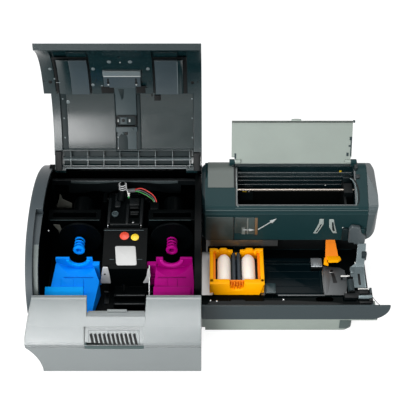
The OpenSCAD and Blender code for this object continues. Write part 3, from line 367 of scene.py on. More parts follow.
finishes = {
    "slatePlastic": look((44, 62, 67), 0.35, 0.44, 0.3, 0.22, (150, 162, 162), grain=1900),
    "coverPlastic": look((18, 44, 48), 0.5, 0.24, 0.08, 0.25, (130, 142, 144), grain=1900),
    "coverSheen": look((120, 133, 136), 0.5, 0.22, 0.05, 0.3, (215, 222, 222), grain=1900),
    "coverPanelGrey": look((68, 82, 88), 0.4, 0.3, 0.08, 0.25, (150, 160, 162), grain=1900),
    "tongueGrey": look((56, 72, 76), 0.3, 0.45, 0.08, 0.3, (130, 145, 147)),
    "coverShadow": look((22, 34, 37), 0.3, 0.4, 0.15, 0.2, (96, 108, 110)),
    "deepBlack": look((3, 6, 7), 0.04, 0.36, 0.15, 0.14, (56, 66, 68)),
    "shadeTeal": look((8, 30, 33), 0.2, 0.5, 0.05, 0.15, (60, 84, 86)),
    # painted shade: black standing in for the dark inside holes, slots, gaps and recesses
    "holeShadeBlack": look((5, 8, 9), 0.2, 0.5, 0.05, 0.0, scuff=0.0),
    "sidePlastic": look((80, 90, 95), 0.15, 0.35, 0.15, 0.2, (225, 230, 230), grain=1900),
    "palePlastic": look((170, 182, 174), 0.5, 0.5, 0.3, 0.2, (235, 238, 236), grain=1900),
    "silverPlastic": look((138, 147, 148), 0.9, 0.25, 0.3, 0.2, (240, 240, 240), cloud=0.05, spread=0.02,
        scuff=0.03, grain=2300),
    "blackSatin": look((9, 14, 16), 0.16, 0.4, 0.2, 0.12, (110, 118, 122), grain=1600),
    "blackGloss": look((5, 9, 11), 0.25, 0.16, 0.05, 0.15, (130, 138, 142), scuff=0.4),
    "charcoalLiner": look((8, 38, 40), 0.55, 0.19, 0.12, 0.25, (110, 122, 126), spread=0.22, grain=1100),
    "bluePlastic": look((0, 142, 255), 0.05, 0.4, 0.1, 0.22, (120, 195, 255), tone=0.9, cloud=0.05),
    "magentaPlastic": look((166, 0, 120), 0.05, 0.4, 0.1, 0.22, (215, 110, 205), tone=0.8, cloud=0.05),
    "orangePlastic": look((255, 156, 0), 0.06, 0.36, 0.12, 0.2, (255, 225, 150), tone=1.15, cloud=0.04),
    "sheetSteel": look((176, 178, 178), 0.5, 0.3, 0.06, 0.1, metallic=0.9, grain=700),
    "brightSteel": look((205, 206, 207), 0.5, 0.2, 0.04, 0.1, metallic=1.0, grain=700),
    "footRubber": look((28, 28, 29), 0.5, 0.8, 0.4, 0.05, grain=900),
    "platenRubber": look((30, 31, 33), 0.5, 0.7, 0.3, 0.05, grain=1200),
    "whiteRubber": look((240, 228, 216), 0.5, 0.55, 0.15, 0.1, (250, 246, 242), tone=0.95, cloud=0.05, grain=900,
        subsurface=0.15),
    "labelPaper": look((238, 239, 238), 0.5, 0.5, 0.08, 0.0, tone=0.56, cloud=0.02, grain=2600, scuff=0.05),
    "redDot": look((222, 70, 44), 0.5, 0.4, 0.05, 0.1, tone=0.9, cloud=0.06, scuff=0.1),
    "yellowDot": look((244, 206, 40), 0.5, 0.4, 0.05, 0.1, tone=0.9, cloud=0.06, scuff=0.1),
    "darkSteel": look((96, 100, 103), 0.5, 0.3, 0.05, 0.1, metallic=0.9, grain=700),
    "boardGreen": look((20, 92, 54), 0.5, 0.35, 0.1, 0.1, grain=600),
    "hoodPlastic": look((26, 58, 61), 0.1, 0.4, 0.25, 0.3, (140, 156, 156), grain=1900),
    "hoodPlate": look((94, 103, 99), 0.3, 0.4, 0.15, 0.2, (170, 178, 176)),
    "smokyPanel": look((52, 66, 64), 0.4, 0.3, 0.1, 0.2, cloud=0.8, scuff=1.0),
    "barGrey": look((126, 134, 130), 0.3, 0.4, 0.05, 0.1),
    "barSmoke": look((66, 84, 83), 0.3, 0.4, 0.05, 0.1, cloud=0.3),
    "glyphPale": look((178, 190, 186), 0.3, 0.5, 0.05, 0.0, cloud=0.05),
    "seamTeal": look((70, 92, 94), 0.3, 0.4, 0.05, 0.1),
    "linerTeal": look((12, 34, 38), 0.5, 0.26, 0.1, 0.2, (90, 110, 112), cloud=0.6),
    "trimPale": look((170, 180, 178), 0.5, 0.25, 0.05, 0.1),
    "trimGrey": look((104, 120, 122), 0.5, 0.3, 0.05, 0.1),
    "trayGloss": look((4, 20, 25), 0.05, 0.22, 0.04, 0.3, (70, 96, 100)),
    "stopTeal": look((26, 52, 56), 0.4, 0.35, 0.1, 0.35, (110, 132, 134)),
    "clipSteel": look((196, 202, 206), 0.5, 0.24, 0.15, 0.2, metallic=0.6, grain=500),
    "guideGrey": look((88, 92, 94), 0.4, 0.38, 0.05, 0.25, metallic=0.3),
    "guideShade": look((112, 114, 116), 0.4, 0.34, 0.05, 0.2, metallic=0.4),
    # painted light: the strip's colour is raised to near white, beyond its own steel colour
    "stripSteelLit": look((236, 240, 242), 0.5, 0.34, 0.05, 0.25, tone=1.6),
    "shelfGrey": look((40, 56, 58), 0.3, 0.5, 0.05, 0.1),
    "rollerTeal": look((24, 42, 46), 0.3, 0.5, 0.15, 0.3, (80, 100, 104)),
    "rodGrey": look((58, 66, 74), 0.4, 0.4, 0.1, 0.1),
    "bracketPale": look((136, 152, 156), 0.5, 0.26, 0.04, 0.25, metallic=0.3),
    "bracketSlate": look((88, 98, 102), 0.4, 0.34, 0.1, 0.3, (160, 170, 172)),
    "orangeShade": look((232, 126, 2), 0.2, 0.5, 0.1, 0.1, (240, 170, 60), tone=0.9, cloud=0.05),
    # the end cap's lighter slate is a painted reflection
    "capSlateLit": look((78, 92, 95), 0.4, 0.28, 0.15, 0.3, (170, 180, 182), grain=1900),
    "mirrorBlack": look((2, 9, 10), 0.06, 0.07, 0.0, 0.1, scuff=0.3),
    "ventTeal": look((78, 98, 98), 0.3, 0.5, 0.05, 0.2),
    "baseShade": look((84, 100, 98), 0.3, 0.5, 0.2, 0.2),
    "railSteel": look((176, 166, 156), 0.5, 0.25, 0.04, 0.1, metallic=0.8, grain=700),
    "hoodEdge": look((14, 34, 38), 0.4, 0.3, 0.1, 0.3, (70, 92, 96)),
    "yellowMark": look((236, 196, 20), 0.5, 0.4, 0.05, 0.0, cloud=0.05, scuff=0.0),
    "markGrey": look((206, 212, 211), 0.5, 0.5, 0.05, 0.0, cloud=0.03, scuff=0.3),
    "warmBar": look((122, 94, 62), 0.5, 0.4, 0.1, 0.1),
    "redWire": look((196, 40, 30), 0.5, 0.4, 0.05, 0.0, tone=0.85),
    "greenWire": look((40, 150, 70), 0.5, 0.4, 0.05, 0.0, tone=0.85),
    "whiteWire": look((226, 226, 222), 0.5, 0.4, 0.05, 0.0, tone=0.85),
    "brownWire": look((110, 66, 44), 0.5, 0.4, 0.05, 0.0),
    # painted highlight along the side ledge
    "sideLedgeHighlight": look((140, 150, 149), 0.2, 0.4, 0.1, 0.1),
    # painted shade over the bay's inner wall
    "voidShadeBlack": look((2, 3, 4), 0.0, 0.9, 0.02, 0.0, scuff=0.0),
    # lighter copies of blue and magenta are painted highlights, darker copies painted shade
    "blueHighlight": look((0, 162, 255), 0.05, 0.4, 0.05, 0.1, (120, 195, 255), tone=0.95, cloud=0.05),
    "blueShade": look((0, 104, 216), 0.05, 0.4, 0.05, 0.1, (60, 150, 235), tone=0.9, cloud=0.05),
    "magentaHighlight": look((196, 30, 150), 0.05, 0.4, 0.05, 0.1, (215, 110, 205), tone=0.85, cloud=0.05),
    "magentaShade": look((122, 0, 86), 0.05, 0.4, 0.05, 0.1, (170, 60, 150), tone=0.85, cloud=0.05),
    "leafSteel": look((214, 216, 217), 0.6, 0.3, 0.05, 0.2, tone=0.9, metallic=0.2, grain=700),
    # painted light: a highlight strip for the rear rail, pale patches and edge highlights for the case wall and the
    # beam
    "railHighlight": look((72, 82, 84), 0.5, 0.2, 0.1, 0.3, (96, 104, 106), cloud=0.9),
    "glimpseLight": look((124, 126, 118), 0.2, 0.5, 0.1, 0.0, cloud=0.4),
    "beamHighlightTeal": look((22, 52, 54), 0.3, 0.4, 0.05, 0.3, (120, 140, 140)),
    "greySleeve": look((86, 90, 92), 0.5, 0.6, 0.3, 0.1, grain=800),
}
materials = {name: makeMaterial(name, **values) for name, values in finishes.items()}

nodeFinish = {
    "silverPlastic": "case_base front_plinth front_panel vent_grille",
    "slatePlastic": "rear_cover feeder_tub hopper_trim",
    "capSlateLit": "hood_end_cap",
    "hoodPlastic": "hood_shell",
    "coverPlastic": "top_cover",
    "sidePlastic": "left_side_cover",
    "palePlastic": "feeder_base hopper_lid",
    "blackSatin": "leaf_clips power_inlet power_button cover_bracket end_roller card_pusher rear_rail",
    "deepBlack": "feeder_bed inner_frame bulkhead_right bearing_beam bridge_cover head_mount head_carriage "
        "supply_disc takeup_disc coupling_block drive_motors",
    "charcoalLiner": "cover_liner",
    "blackGloss": "cover_channel card_tray",
    "linerTeal": "hopper_liner",
    "rodGrey": "contact_rods",
    "bluePlastic": "supply_cradle supply_spindle",
    "magentaPlastic": "takeup_cradle takeup_spindle",
    "orangePlastic": "cleaning_cassette gate_lever",
    "sheetSteel": "print_head bed_plates side_bracket",
    "brightSteel": "hinge_pins head_spring platen_shaft",
    "leafSteel": "wire_bail",
    "railSteel": "slide_rods",
    "footRubber": "rubber_feet",
    "platenRubber": "platen_roller pick_roller",
    "whiteRubber": "cleaning_roller_left cleaning_roller_right",
    "labelPaper": "blank_label",
    "redDot": "marker_dots",
    "boardGreen": "main_board",
    "brownWire": "head_harness",
}
for finish, names in nodeFinish.items():
    for nodeName in names.split():
        mesh = nodes[nodeName].data
        mesh.materials.clear()
        mesh.materials.append(materials[finish])
print("materials set:", len(materials))


def coverPiece(name, finish, *shapes, replaces=()):
    # a piece that turns with the ribbon cover
    addPiece(name, finish, *shapes, body="ribbon_cover", replaces=replaces)


# inside of the open cover: sizes in mm under the closed lid
coverCurve = {"crown": (-22.0, -26.0, 188.0), "brow": (-43.29, 59.39, 100.0), "join": -67.48, "joinAngle": 14.0,
              "hinge": (79.0, 130.0), "openAngle": -101.6}


def underCover(shape):
    # points (x, y, depth) under the closed lid's two circles, swung open about the hinge:
    # z = centre + sqrt((radius - depth)^2 - (y - centre)^2)
    x, y, depth = (shape[0] / mm).T
    def under(circle):
        reach = (circle[2] - depth) ** 2 - (y - circle[0]) ** 2
        return circle[1] + np.sqrt(np.maximum(reach, 0))
    z = np.where(y > coverCurve["join"], under(coverCurve["crown"]), under(coverCurve["brow"]))
    a = radians(coverCurve["openAngle"])
    hy, hz = coverCurve["hinge"]
    opened = (x, hy + (y - hy) * cos(a) - (z - hz) * sin(a), hz + (y - hy) * sin(a) + (z - hz) * cos(a))
    return np.stack(opened, -1) * mm, shape[1]


def coverBlock(x0, x1, y0, y1, deep, shallow, radius=0.8, steps=0):
    # a rounded block between two depths, carried along y so that it follows the lid
    outline = rounded([(x0, shallow), (x1, shallow), (x1, deep), (x0, deep)], radius, 4)
    stations = np.linspace(y0, y1, steps or max(3, int(abs(y1 - y0) / 4)))
    rings = np.stack([placed(outline, y, "y") for y in stations])
    return underCover(skinned(rings * mm))


def coverDisc(x, y, radius, deep, shallow, sides=20):
    # a short round stud standing on the lid's inner face
    a = np.linspace(0, 2 * pi, sides, endpoint=False)
    outline = np.stack([x + radius * np.cos(a), y + radius * np.sin(a)], -1)
    return underCover(plate(outline, shallow, deep, "z", 0.15))


coverParts = {"skin": 5.4, "frameFace": 9.0, "bracket": (-146, -93, -73.5, -46), "slots": (-139.2, -100.2),
    "step": -32.0}

x0, x1, y0, y1 = coverParts["bracket"]
face = coverParts["frameFace"]
# the band along the bracket's top is a painted highlight in the cover's sheen colour
coverPiece("coverBracketBand", "coverSheen", coverBlock(x0, x1, y0, -65.0, face + 5.2, face - 0.5, 1.6, 8),
    replaces=["cover_bracket"])
coverPiece("coverBracketLine", "markGrey",
    coverBlock(x0 + 1, x1 - 0.4, -64.8, -63.4, face + 4.8, face - 0.5, 0.4, 4))
coverPiece("coverBracketFace", "coverPanelGrey",
    coverBlock(x0 + 0.8, x1 - 0.8, -63.2, y1, face + 4.2, face - 0.5, 1.0, 8),
    coverBlock(x0 + 8, x1 - 8, y1, y1 + 3, face + 2.0, face - 0.5, 0.8, 4))
# the bracket's slots are painted shade
bracketSlots = [joined(coverDisc(x, -52.5, 2.0, face + 4.5, face + 4.0),
        coverBlock(x - 1.1, x + 1.1, -60, -52, face + 4.45, face + 4.0, 0.2, 4))
    for x in coverParts["slots"]]
coverPiece("coverBracketSlots", "holeShadeBlack", *bracketSlots)
coverPiece("coverBracketPins", "markGrey",
    *[coverDisc(x + 0.2, -49.6, 1.2, face + 5.0, face + 4.2, 14) for x in coverParts["slots"]])

# the two moulded pockets beside the bracket: a raised panel whose outer end curves back, painted in the darker lid
# colour as painted shade
pocketEnd = coverParts["step"] - 0.6


def curvedEnd(near, far, high):
    # a wall whose height falls from high to nothing on a quarter ellipse between two x values
    t = np.linspace(0, pi / 2, 9)
    over = np.stack([near + (far - near) * np.sin(t), face + high * np.cos(t)], -1)
    outline = np.vstack([over, [(far, face - 0.4), (near, face - 0.4)]])
    rings = np.stack([placed(outline, y, "y") for y in np.linspace(-94, pocketEnd, 18)])
    return underCover(skinned(rings * mm))


coverPiece("coverPanels", "coverPanelGrey",
    coverBlock(-190.9, -166.0, -94, pocketEnd, face + 3.2, face - 0.4, 0.6, 18),
    coverBlock(-73.4, -42.2, -94, pocketEnd, face + 3.2, face - 0.4, 0.6, 18))
coverPiece("coverPanelEnds", "coverPlastic", curvedEnd(-191, -209, 3.1), curvedEnd(-42.1, -34.2, 3.1))
coverPiece("coverPanelShade", "holeShadeBlack",
    coverBlock(-213, -209.3, -93, pocketEnd, face + 0.5, face - 0.3, 0.5, 18),
    coverBlock(-213, -163.6, -99, -94.5, face + 0.5, face - 0.3, 0.5, 4),
    coverBlock(-165.4, -163.6, -99, pocketEnd, face + 0.7, face - 0.3, 0.4, 18),
    coverBlock(-75.6, -73.9, -99, pocketEnd, face + 0.7, face - 0.3, 0.4, 18),
    coverBlock(-34.0, -29, -99, pocketEnd, face + 0.6, face - 0.3, 0.5, 18),
    coverBlock(-75.6, -29, -99, -94.5, face + 0.5, face - 0.3, 0.5, 4))
coverPiece("coverPanelGlints", "coverSheen",
    coverBlock(-42.8, -41.8, -91, pocketEnd - 1, face + 3.5, face + 2.5, 0.3, 16),
    coverBlock(-212, -205, -51.8, -51.0, face + 1.6, face + 0.3, 0.2, 3))

# holes and notches in painted shade, ejector marks and pin heads
holes = [(-220.5, -51.6, 2.6), (-21.8, -50.4, 2.4), (-156.3, -55, 1.0), (-81, -53.3, 1.0), (-14, -51.6, 1.0),
    (-229.5, -53, 0.9)]
marks = [(-135.5, -88.6, 3.0), (-106.8, -88.6, 3.0), (-218.2, -74.7, 2.4), (-158.8, -74.7, 2.6),
    (-161.2, -46.5, 2.4), (-82.9, -74.7, 2.6), (-148.7, -44.8, 1.6), (-214, -57, 1.4)]
coverPiece("coverHoles", "holeShadeBlack", *[coverDisc(x, y, r, face + 0.4, face - 0.3) for x, y, r in holes])
coverPiece("coverMarks", "coverSheen", *[coverDisc(x, y, r, face + 0.22, face - 0.3, 28) for x, y, r in marks])
coverPiece("coverPinhole", "markGrey", coverDisc(-120.5, -87.6, 1.0, face + 0.4, face - 0.3))
coverPiece("coverNotches", "holeShadeBlack", coverBlock(-150, -132.5, -44.5, -33, face + 0.5, face - 0.3, 0.4, 6),
    coverBlock(-101, -88, -44.5, -33, face + 0.5, face - 0.3, 0.4, 6))

# the tongue down the middle, its pocket and the recess under it; its walls, pocket rim and recess carry painted
# shade
skin = coverParts["skin"]
tongue = {"left": -131.5, "right": -101.5, "depth": 8.5}
l, r, deep = tongue["left"], tongue["right"], tongue["depth"]
coverPiece("tongueFace", "tongueGrey", coverBlock(l, r, -44, 1, deep + 1.2, skin - 0.4, 1.2, 14),
    coverBlock(l - 0.6, r + 0.6, 19, 26, deep + 2.0, skin - 0.4, 1.2, 4),
    coverBlock(l + 1, r - 1, 26, 53, deep - 0.6, skin - 0.4, 0.8, 10), replaces=["cover_channel"])
coverPiece("tongueWalls", "shadeTeal", coverBlock(l - 1.4, l, -30, 55, deep + 1.6, skin - 0.4, 0.5, 26),
    coverBlock(r, r + 5.5, -30, 55, deep - 1.2, skin - 0.4, 1.2, 26),
    coverBlock(l - 1.4, r + 1.4, 53.4, 55, deep + 1.6, skin - 0.4, 0.5, 3),
    coverBlock(l, r, 1, 3, deep + 1.5, skin - 0.4, 0.5, 3))
wedge = np.array([(l + 5, -40), (l + 13, -40), (l + 12, -26), (l + 9.5, -22), (l + 8, -28)])
arch = np.vstack([[(l + 3, 52), (l + 3, 38)],
        np.stack([l + 9.5 - 6.5 * np.cos(np.linspace(0, pi, 9)), 38 - 9 * np.sin(np.linspace(0, pi, 9))], -1)[1:-1],
        [(l + 16, 38), (l + 16, 52)]])
coverPiece("tongueShade", "shadeTeal", underCover(plate(wedge, deep + 0.9, deep + 1.5, "z", 0.1)),
    underCover(plate(arch, deep - 1.0, deep - 0.3, "z", 0.1)),
    coverBlock(l + 0.3, r - 0.3, 3, 19, deep - 0.4, skin - 0.4, 0.8, 6))
rim = rounded([(l + 0.6, 1.6), (r - 0.6, 1.6), (r - 0.6, 18.6), (l + 0.6, 18.6)], 4.5, 8)
rimRings = np.stack(
    [placed(inset(rim, k), deep + z, "z") for k, z in ((0, -0.5), (0, 2.4), (1.3, 2.6), (1.5, 1.4), (1.5, -0.5))])
firstRow, lastRow = np.arange(len(rim)), (len(rimRings) - 1) * len(rim) + np.arange(len(rim))
rimClosure = np.stack([lastRow, np.roll(lastRow, -1), np.roll(firstRow, -1), firstRow], -1).tolist()
rimFaces = gridFaces(len(rimRings), len(rim)) + rimClosure
coverPiece("tonguePocketRim", "holeShadeBlack", underCover((rimRings.reshape(-1, 3) * mm, rimFaces)))
coverPiece("tonguePlug", "tongueGrey", coverBlock(l + 6, l + 16, 5, 15, deep + 1.0, deep - 0.6, 1.2, 4),
    coverBlock(l + 7.5, l + 11, 26.4, 29.5, deep + 2.0, deep - 0.5, 0.8, 3),
    coverBlock(r - 8, r - 5, 20.4, 23, deep + 3.0, deep + 1.0, 0.6, 3))
coverPiece("tonguePlugHole", "holeShadeBlack", coverDisc(l + 10.5, 9.6, 2.3, deep + 1.25, deep, 20),
    coverBlock(l + 12, l + 16, 27, 31, deep + 0.4, deep - 1.6, 0.5, 3))
coverPiece("tongueTabs", "markGrey", coverBlock(l + 1.8, l + 3.8, 8, 12, deep + 1.2, deep - 0.6, 0.4, 3),
    coverBlock(l + 18.2, l + 20.4, 8, 12, deep + 1.2, deep - 0.6, 0.4, 3),
    coverDisc(l + 2.2, 34, 0.8, deep + 1.4, deep - 1.6, 12),
    coverDisc(l + 2.2, 49, 0.8, deep + 1.4, deep - 1.6, 12))

# side flanges: the left one painted with a highlight, a groove of painted shade beside each, a row of small screws
flange = {"left": (-221.5, -212.5), "right": (-18, -10.5)}
coverPiece("flangeLeft", "coverSheen", coverBlock(*flange["left"], -34, 74, skin + 1.5, skin - 0.4, 0.8, 30))
coverPiece("flangeRight", "coverPlastic", coverBlock(*flange["right"], -34, 74, skin + 1.2, skin - 0.4, 0.8, 30))
coverPiece("flangeGrooves", "shadeTeal", coverBlock(-210.5, -201, -31, 51, skin + 0.5, skin - 0.4, 0.4, 26),
    coverBlock(-20.6, -18.8, -31, 51, skin + 0.5, skin - 0.4, 0.4, 26))
studs = [(-206, y) for y in (-22, 8, 36)] + [(-22.5, y) for y in (-22, 8, 36)]
coverPiece("coverStuds", "coverSheen", *[coverDisc(x, y, 1.1, skin + 1.2, skin - 0.3, 14) for x, y in studs],
    coverDisc(-199, -16.7, 2.8, skin + 0.3, skin - 0.3, 28), coverDisc(-68, -20, 1.0, skin + 1.0, skin - 0.3, 14))
coverPiece("coverLatchHook", "holeShadeBlack", coverBlock(-76, -67, -28, -20, skin + 2.2, skin - 0.3, 0.6, 4),
    coverBlock(-80, -78.5, -31, -26, skin + 1.0, skin - 0.3, 0.3, 3))

# rib grid at the foot of the lid: painted shade on the floor between the ribs, a painted highlight on their edges
ribs = {"across": (-208, -24), "x": (-197.2, -173.6, -150.2, -126.7, -100, -75.5, -51.2, -26.7)}
coverPiece("ribFloor", "shadeTeal", coverBlock(*ribs["across"], 51.9, 71.4, skin + 0.7, skin - 0.4, 0.3, 8))
coverPiece("ribEdges", "coverSheen",
    *[coverBlock(x - 0.35, x + 0.35, 51.5, 71.5, skin + 9.1, skin - 0.3, 0.25, 8) for x in ribs["x"]],
    coverBlock(*ribs["across"], 61.0, 61.9, skin + 9.0, skin - 0.3, 0.25, 3),
    coverBlock(*ribs["across"], 51.0, 52.0, skin + 3.0, skin - 0.3, 0.25, 3),
    coverBlock(-214, -14, 74.6, 76.0, skin + 2.0, skin - 0.3, 0.3, 3))
coverPiece("hingeBlocks", "blackSatin", coverBlock(-220, -210.6, 52, 76, skin + 7, skin - 0.3, 1.0, 8),
    coverBlock(-20.5, -11, 54, 76, skin + 7, skin - 0.3, 1.0, 8))
print("cover fitted")

# inside of the print station
bridgeTop = {"y": -72.0, "height": 92.6, "tilt": 10.0, "rise": 0.17627}


def onBridge(shape, x, y):
    # a flat shape made round the origin, laid on the bridge's sloping top at (x, y)
    z = bridgeTop["height"] + (y - bridgeTop["y"]) * bridgeTop["rise"]
    return moved(turned(shape, (1, 0, 0), bridgeTop["tilt"]), (x * mm, y * mm, (z + 0.15) * mm))


# spring and tube behind the head
headSpring = {"place": (-122.4, 49.6), "low": 108.6, "high": 129.6, "radius": 5.3, "wire": 0.55, "turns": 5}
sx, sy = headSpring["place"]
addPiece("headSpringCoil", "leafSteel",
    coil((sx, sy, 0), "z", headSpring["low"] + 0.7, headSpring["high"], headSpring["radius"], headSpring["wire"],
        headSpring["turns"]), body="print_head_arm",
    replaces=["head_spring"])
addPiece("headSpringTube", "deepBlack",
    turnedProfile([(111.5, 3.4), (129.6, 3.4), (130.2, 3.0), (130.4, 1.8), (126, 1.6)], (sx, sy, 0), "z", 24),
    tube(np.linspace((sx - 0.6, sy - 1.0, 114.5), (sx - 3.4, sy - 15, 107.4), 16), np.linspace(6.4, 5.6, 16), 28),
    body="print_head_arm")

# wires from the head to the beam: a short sleeve, then loose cores that fan out, arch over and go in behind the beam
sleevePath = smoothPath(
    [(-114.5, 47.6, 115.6), (-111.5, 47.2, 117.2), (-107.5, 46.6, 118.4), (-104.5, 46.0, 118.8)], 20)
addPiece("wireSleeve", "greySleeve", tube(sleevePath, np.linspace(2.7, 3.1, 20), 16), replaces=["head_harness"])
cores = {
    "Red": ("redWire", 1.0, 0.0), "Black": ("blackSatin", 0.8, 1.4), "Grey": ("greySleeve", 0.62, -1.2),
    "White": ("whiteWire", 0.42, 0.9), "Green": ("greenWire", 0.2, -0.8), "Rust": ("brownWire", 0.0, 0.6),
}
coreSize = 1.5
for label, (finish, high, aside) in cores.items():
    # high runs from the inner core of the fan, 0, to the outer one, 1
    route = smoothPath(
        [(-105.2, 45.8 + 0.5 * aside, 117.4 + 2.4 * high), (-100.5, 45.4 + aside, 116.6 + 6.6 * high),
            (-94.0, 44.4 + aside, 113.4 + 10.4 * high), (-86.5 + high, 42.0 + aside, 110.0 + 10.4 * high),
            (-79.6 + 2.4 * high, 36.0 + aside, 108.6 + 8.2 * high), (-77.0 + 3.6 * high, 29.0, 106.4 + 5.6 * high),
            (-77.4 + 3.8 * high, 24.0, 105.0 + 2.4 * high), (-77.4 + 3.8 * high, 18.4, 103.6 + 1.6 * high)], 36)
    core = addPiece("wireCore" + label, finish, tube(route, coreSize / 2, 10))
addPiece("wireClamp", "deepBlack", box(-82.4, -70.2, 14.3, 28.6, 97.0, 113.0, 1.6, 0.8))
addPiece("wireSocket", "whiteWire", box(-116.4, -112.6, 45.4, 50.4, 110.6, 117.4, 1.0),
    box(-115.8, -112.8, 43.0, 45.8, 107.5, 112.4, 0.6), body="print_head_arm")
addPiece("wireSocketKey", "greenWire", box(-115.4, -113.6, 42.0, 44.0, 106.6, 110.2, 0.4), body="print_head_arm")

# the head body: two long arms, a round spring seat, ribs and a screw
headParts = {"left": -142.5, "right": -92.6, "top": 106.4}
hl, hr, ht = headParts["left"], headParts["right"], headParts["top"]
addPiece("headArms", "blackSatin", box(hl, hl + 4.2, -9, 42, ht - 2, ht + 1.6, 1.4, 0.8),
    box(hr - 4.2, hr, -9, 42, ht - 2, ht + 1.6, 1.4, 0.8),
    box(hl + 9, hl + 17.5, 22, 50, ht - 3, ht + 3.4, 2.4, 1.0),
    box(hl + 26, hl + 30, -9, 30, ht - 2, ht + 1.8, 1.2, 0.8),
    box(hr - 20, hr - 6, 26, 40, ht - 3, ht + 3.0, 1.6, 0.8),
    box(hr - 18, hr - 6, 12.5, 15.5, ht - 2, ht + 2.0, 0.8, 0.5),
    box(hl + 4, hr - 4, -10.2, -6.6, ht - 4, ht + 0.4, 1.0, 0.6), body="print_head_arm")
addPiece("headSeat", "tongueGrey",
    moved(turned(turnedProfile([(0, 4.9), (1.8, 4.9), (2.3, 4.4), (2.3, 3.0), (0.4, 2.8)], (0, 0, 0), "z", 32),
            (1, 0, 0), 4),
        (-132 * mm, 10.4 * mm, (ht - 0.2) * mm)), body="print_head_arm")
# slots in painted shade
addPiece("headSlots", "holeShadeBlack", box(hr - 19, hr - 7, 21.4, 25.4, ht - 0.4, ht + 0.9, 0.4, 0.1),
    box(hr - 18, hr - 7, 9, 12, ht - 0.4, ht + 0.9, 0.4, 0.1), body="print_head_arm")
addPiece("headScrew", "brightSteel",
    turnedProfile([(ht - 1, 1.7), (ht + 0.7, 1.7), (ht + 1.1, 1.2)], (-105.8, -5.5, 0), "z", 20),
    body="print_head_arm")
addPiece("headPins", "brightSteel",
    *[turnedProfile([(97, 1.5), (107.6, 1.3), (109.0, 0.8), (109.4, 0.3)], (x, -12.8, 0), "z", 18)
        for x in (hl + 1.6, hr - 1.6)], body="print_head_arm")

# bridge: blank label, two plain dots and three short raised lines
labelLook = {"place": (-113.8, -58.2), "half": (14.2, 15.6), "corner": 3.2, "skew": 0.10}
w, h = labelLook["half"]
corners = rounded([(-w, -h), (w, -h), (w, h), (-w, h)], labelLook["corner"], 7)
corners[:, 0] -= labelLook["skew"] * corners[:, 1]
addPiece("blankLabel", "labelPaper", onBridge(plate(corners, 0, 0.3, "z", 0.08), *labelLook["place"]),
    replaces=["blank_label"])
dots = {"Red": ((-117.2, -26.2), 6.6, "redDot"), "Yellow": ((-102.4, -28.4), 5.6, "yellowDot")}
for label, (place, radius, finish) in dots.items():
    addPiece("plainDot" + label, finish,
        onBridge(turnedProfile([(0, radius), (0.22, radius), (0.3, radius - 0.15)], (0, 0, 0), "z", 48), *place),
        replaces=["marker_dots"] if label == "Red" else ())
addPiece("bridgeLines", "tongueGrey", onBridge(box(-3.2, 3.2, -0.45, 0.45, 0, 0.5, 0.3, 0.1), -133.0, -64.4),
    onBridge(box(-3.6, 3.6, -0.45, 0.45, 0, 0.5, 0.3, 0.1), -94.2, -64.4),
    onBridge(box(-28, 28, -0.5, 0.5, 0, 0.6, 0.3, 0.1), -118.4, -17.2))

# silver leaves either side of the platen, bars and thin rods in front
leafOutline = [(-150.0, 59.5), (-135.8, 59.5), (-135.8, 66.0), (-136.4, 80.0), (-137.6, 94.0), (-144.6, 94.0),
    (-147.2, 80.0), (-149.4, 66.0)]
addPiece("leafLeft", "leafSteel", plate(rounded(leafOutline, 1.2), -78.4, -77.5, "y", 0.25))
addPiece("leafRight", "leafSteel",
    plate(rounded([(-91.0, 60.0), (-82.0, 61.0), (-79.6, 76.0), (-80.4, 92.0), (-83.0, 90.0), (-85.4, 74.0)], 1.0),
        -78.4, -77.5, "y", 0.25))
addPiece("leafFeet", "blackSatin", box(-145.6, -139.6, -78, -58, 37.6, 61, 1.0),
    box(-88.4, -82.6, -78, -58, 37.6, 61, 1.0))
# holes in painted shade
addPiece("leafHoles", "holeShadeBlack", turnedProfile([(-78.7, 1.3), (-77.6, 1.4)], (-142.7, 0, 79.4), "y", 18))
addPiece("lightRods", "guideGrey", tube(np.linspace((-126.5, -99.5, 59.2), (-87.4, -99.5, 59.4), 12), 0.45, 10),
    tube(np.linspace((-128, -111.5, 55.2), (-87.6, -111.5, 55.2), 12), 0.4, 10))

# hubs: a front ring, a dark core of painted shade and a helical blade running back to the disc
hub = {"front": -47.0, "disc": -24.0, "height": 92.5, "ring": 8.2, "blade": 6.1}
front, disc = hub["front"], hub["disc"]
for name, x, finish, body, node in (("supply", -180.0, "bluePlastic", "supply_spool", "supply_spindle"),
                                    ("takeup", -50.5, "magentaPlastic", "takeup_spool", "takeup_spindle")):
    centre = (x, 0, hub["height"])
    ring = turnedProfile([(front + 13, 3.4), (front + 1.2, 3.4), (front, 4.8), (front, 7.0),
                          (front + 0.5, 7.9), (front + 1.4, hub["ring"]), (front + 3.6, hub["ring"]),
                          (front + 4.4, 7.6), (front + 5.2, 5.0), (front + 13, 4.6)], centre, "y", 48)
    blade = coil(centre, "y", front + 6.5, disc - 1.5, hub["blade"], 1.25, 2.6, 10, 36)
    addPiece(name + "Hub", finish, ring, blade, body=body, replaces=[node])
    addPiece(name + "Core", "holeShadeBlack",
        turnedProfile([(front + 13, 3.3), (front + 13.4, 4.5), (disc, 4.6), (4.8, 4.6), (5.0, 4.4)], centre, "y",
            32), body=body)

# small screws on the inner walls
addPiece("wallScrews", "brightSteel",
    *[turnedProfile([(-12.9, 0.6), (-12.0, 1.5), (-10.4, 1.8)], (0, y, z), "x", 20)
        for y, z in ((62, 100.5), (-100, 98.5))],
    turnedProfile([(-226.2, 2.2), (-224.6, 2.0), (-224.1, 1.0)], (0, -12, 96), "x", 20))

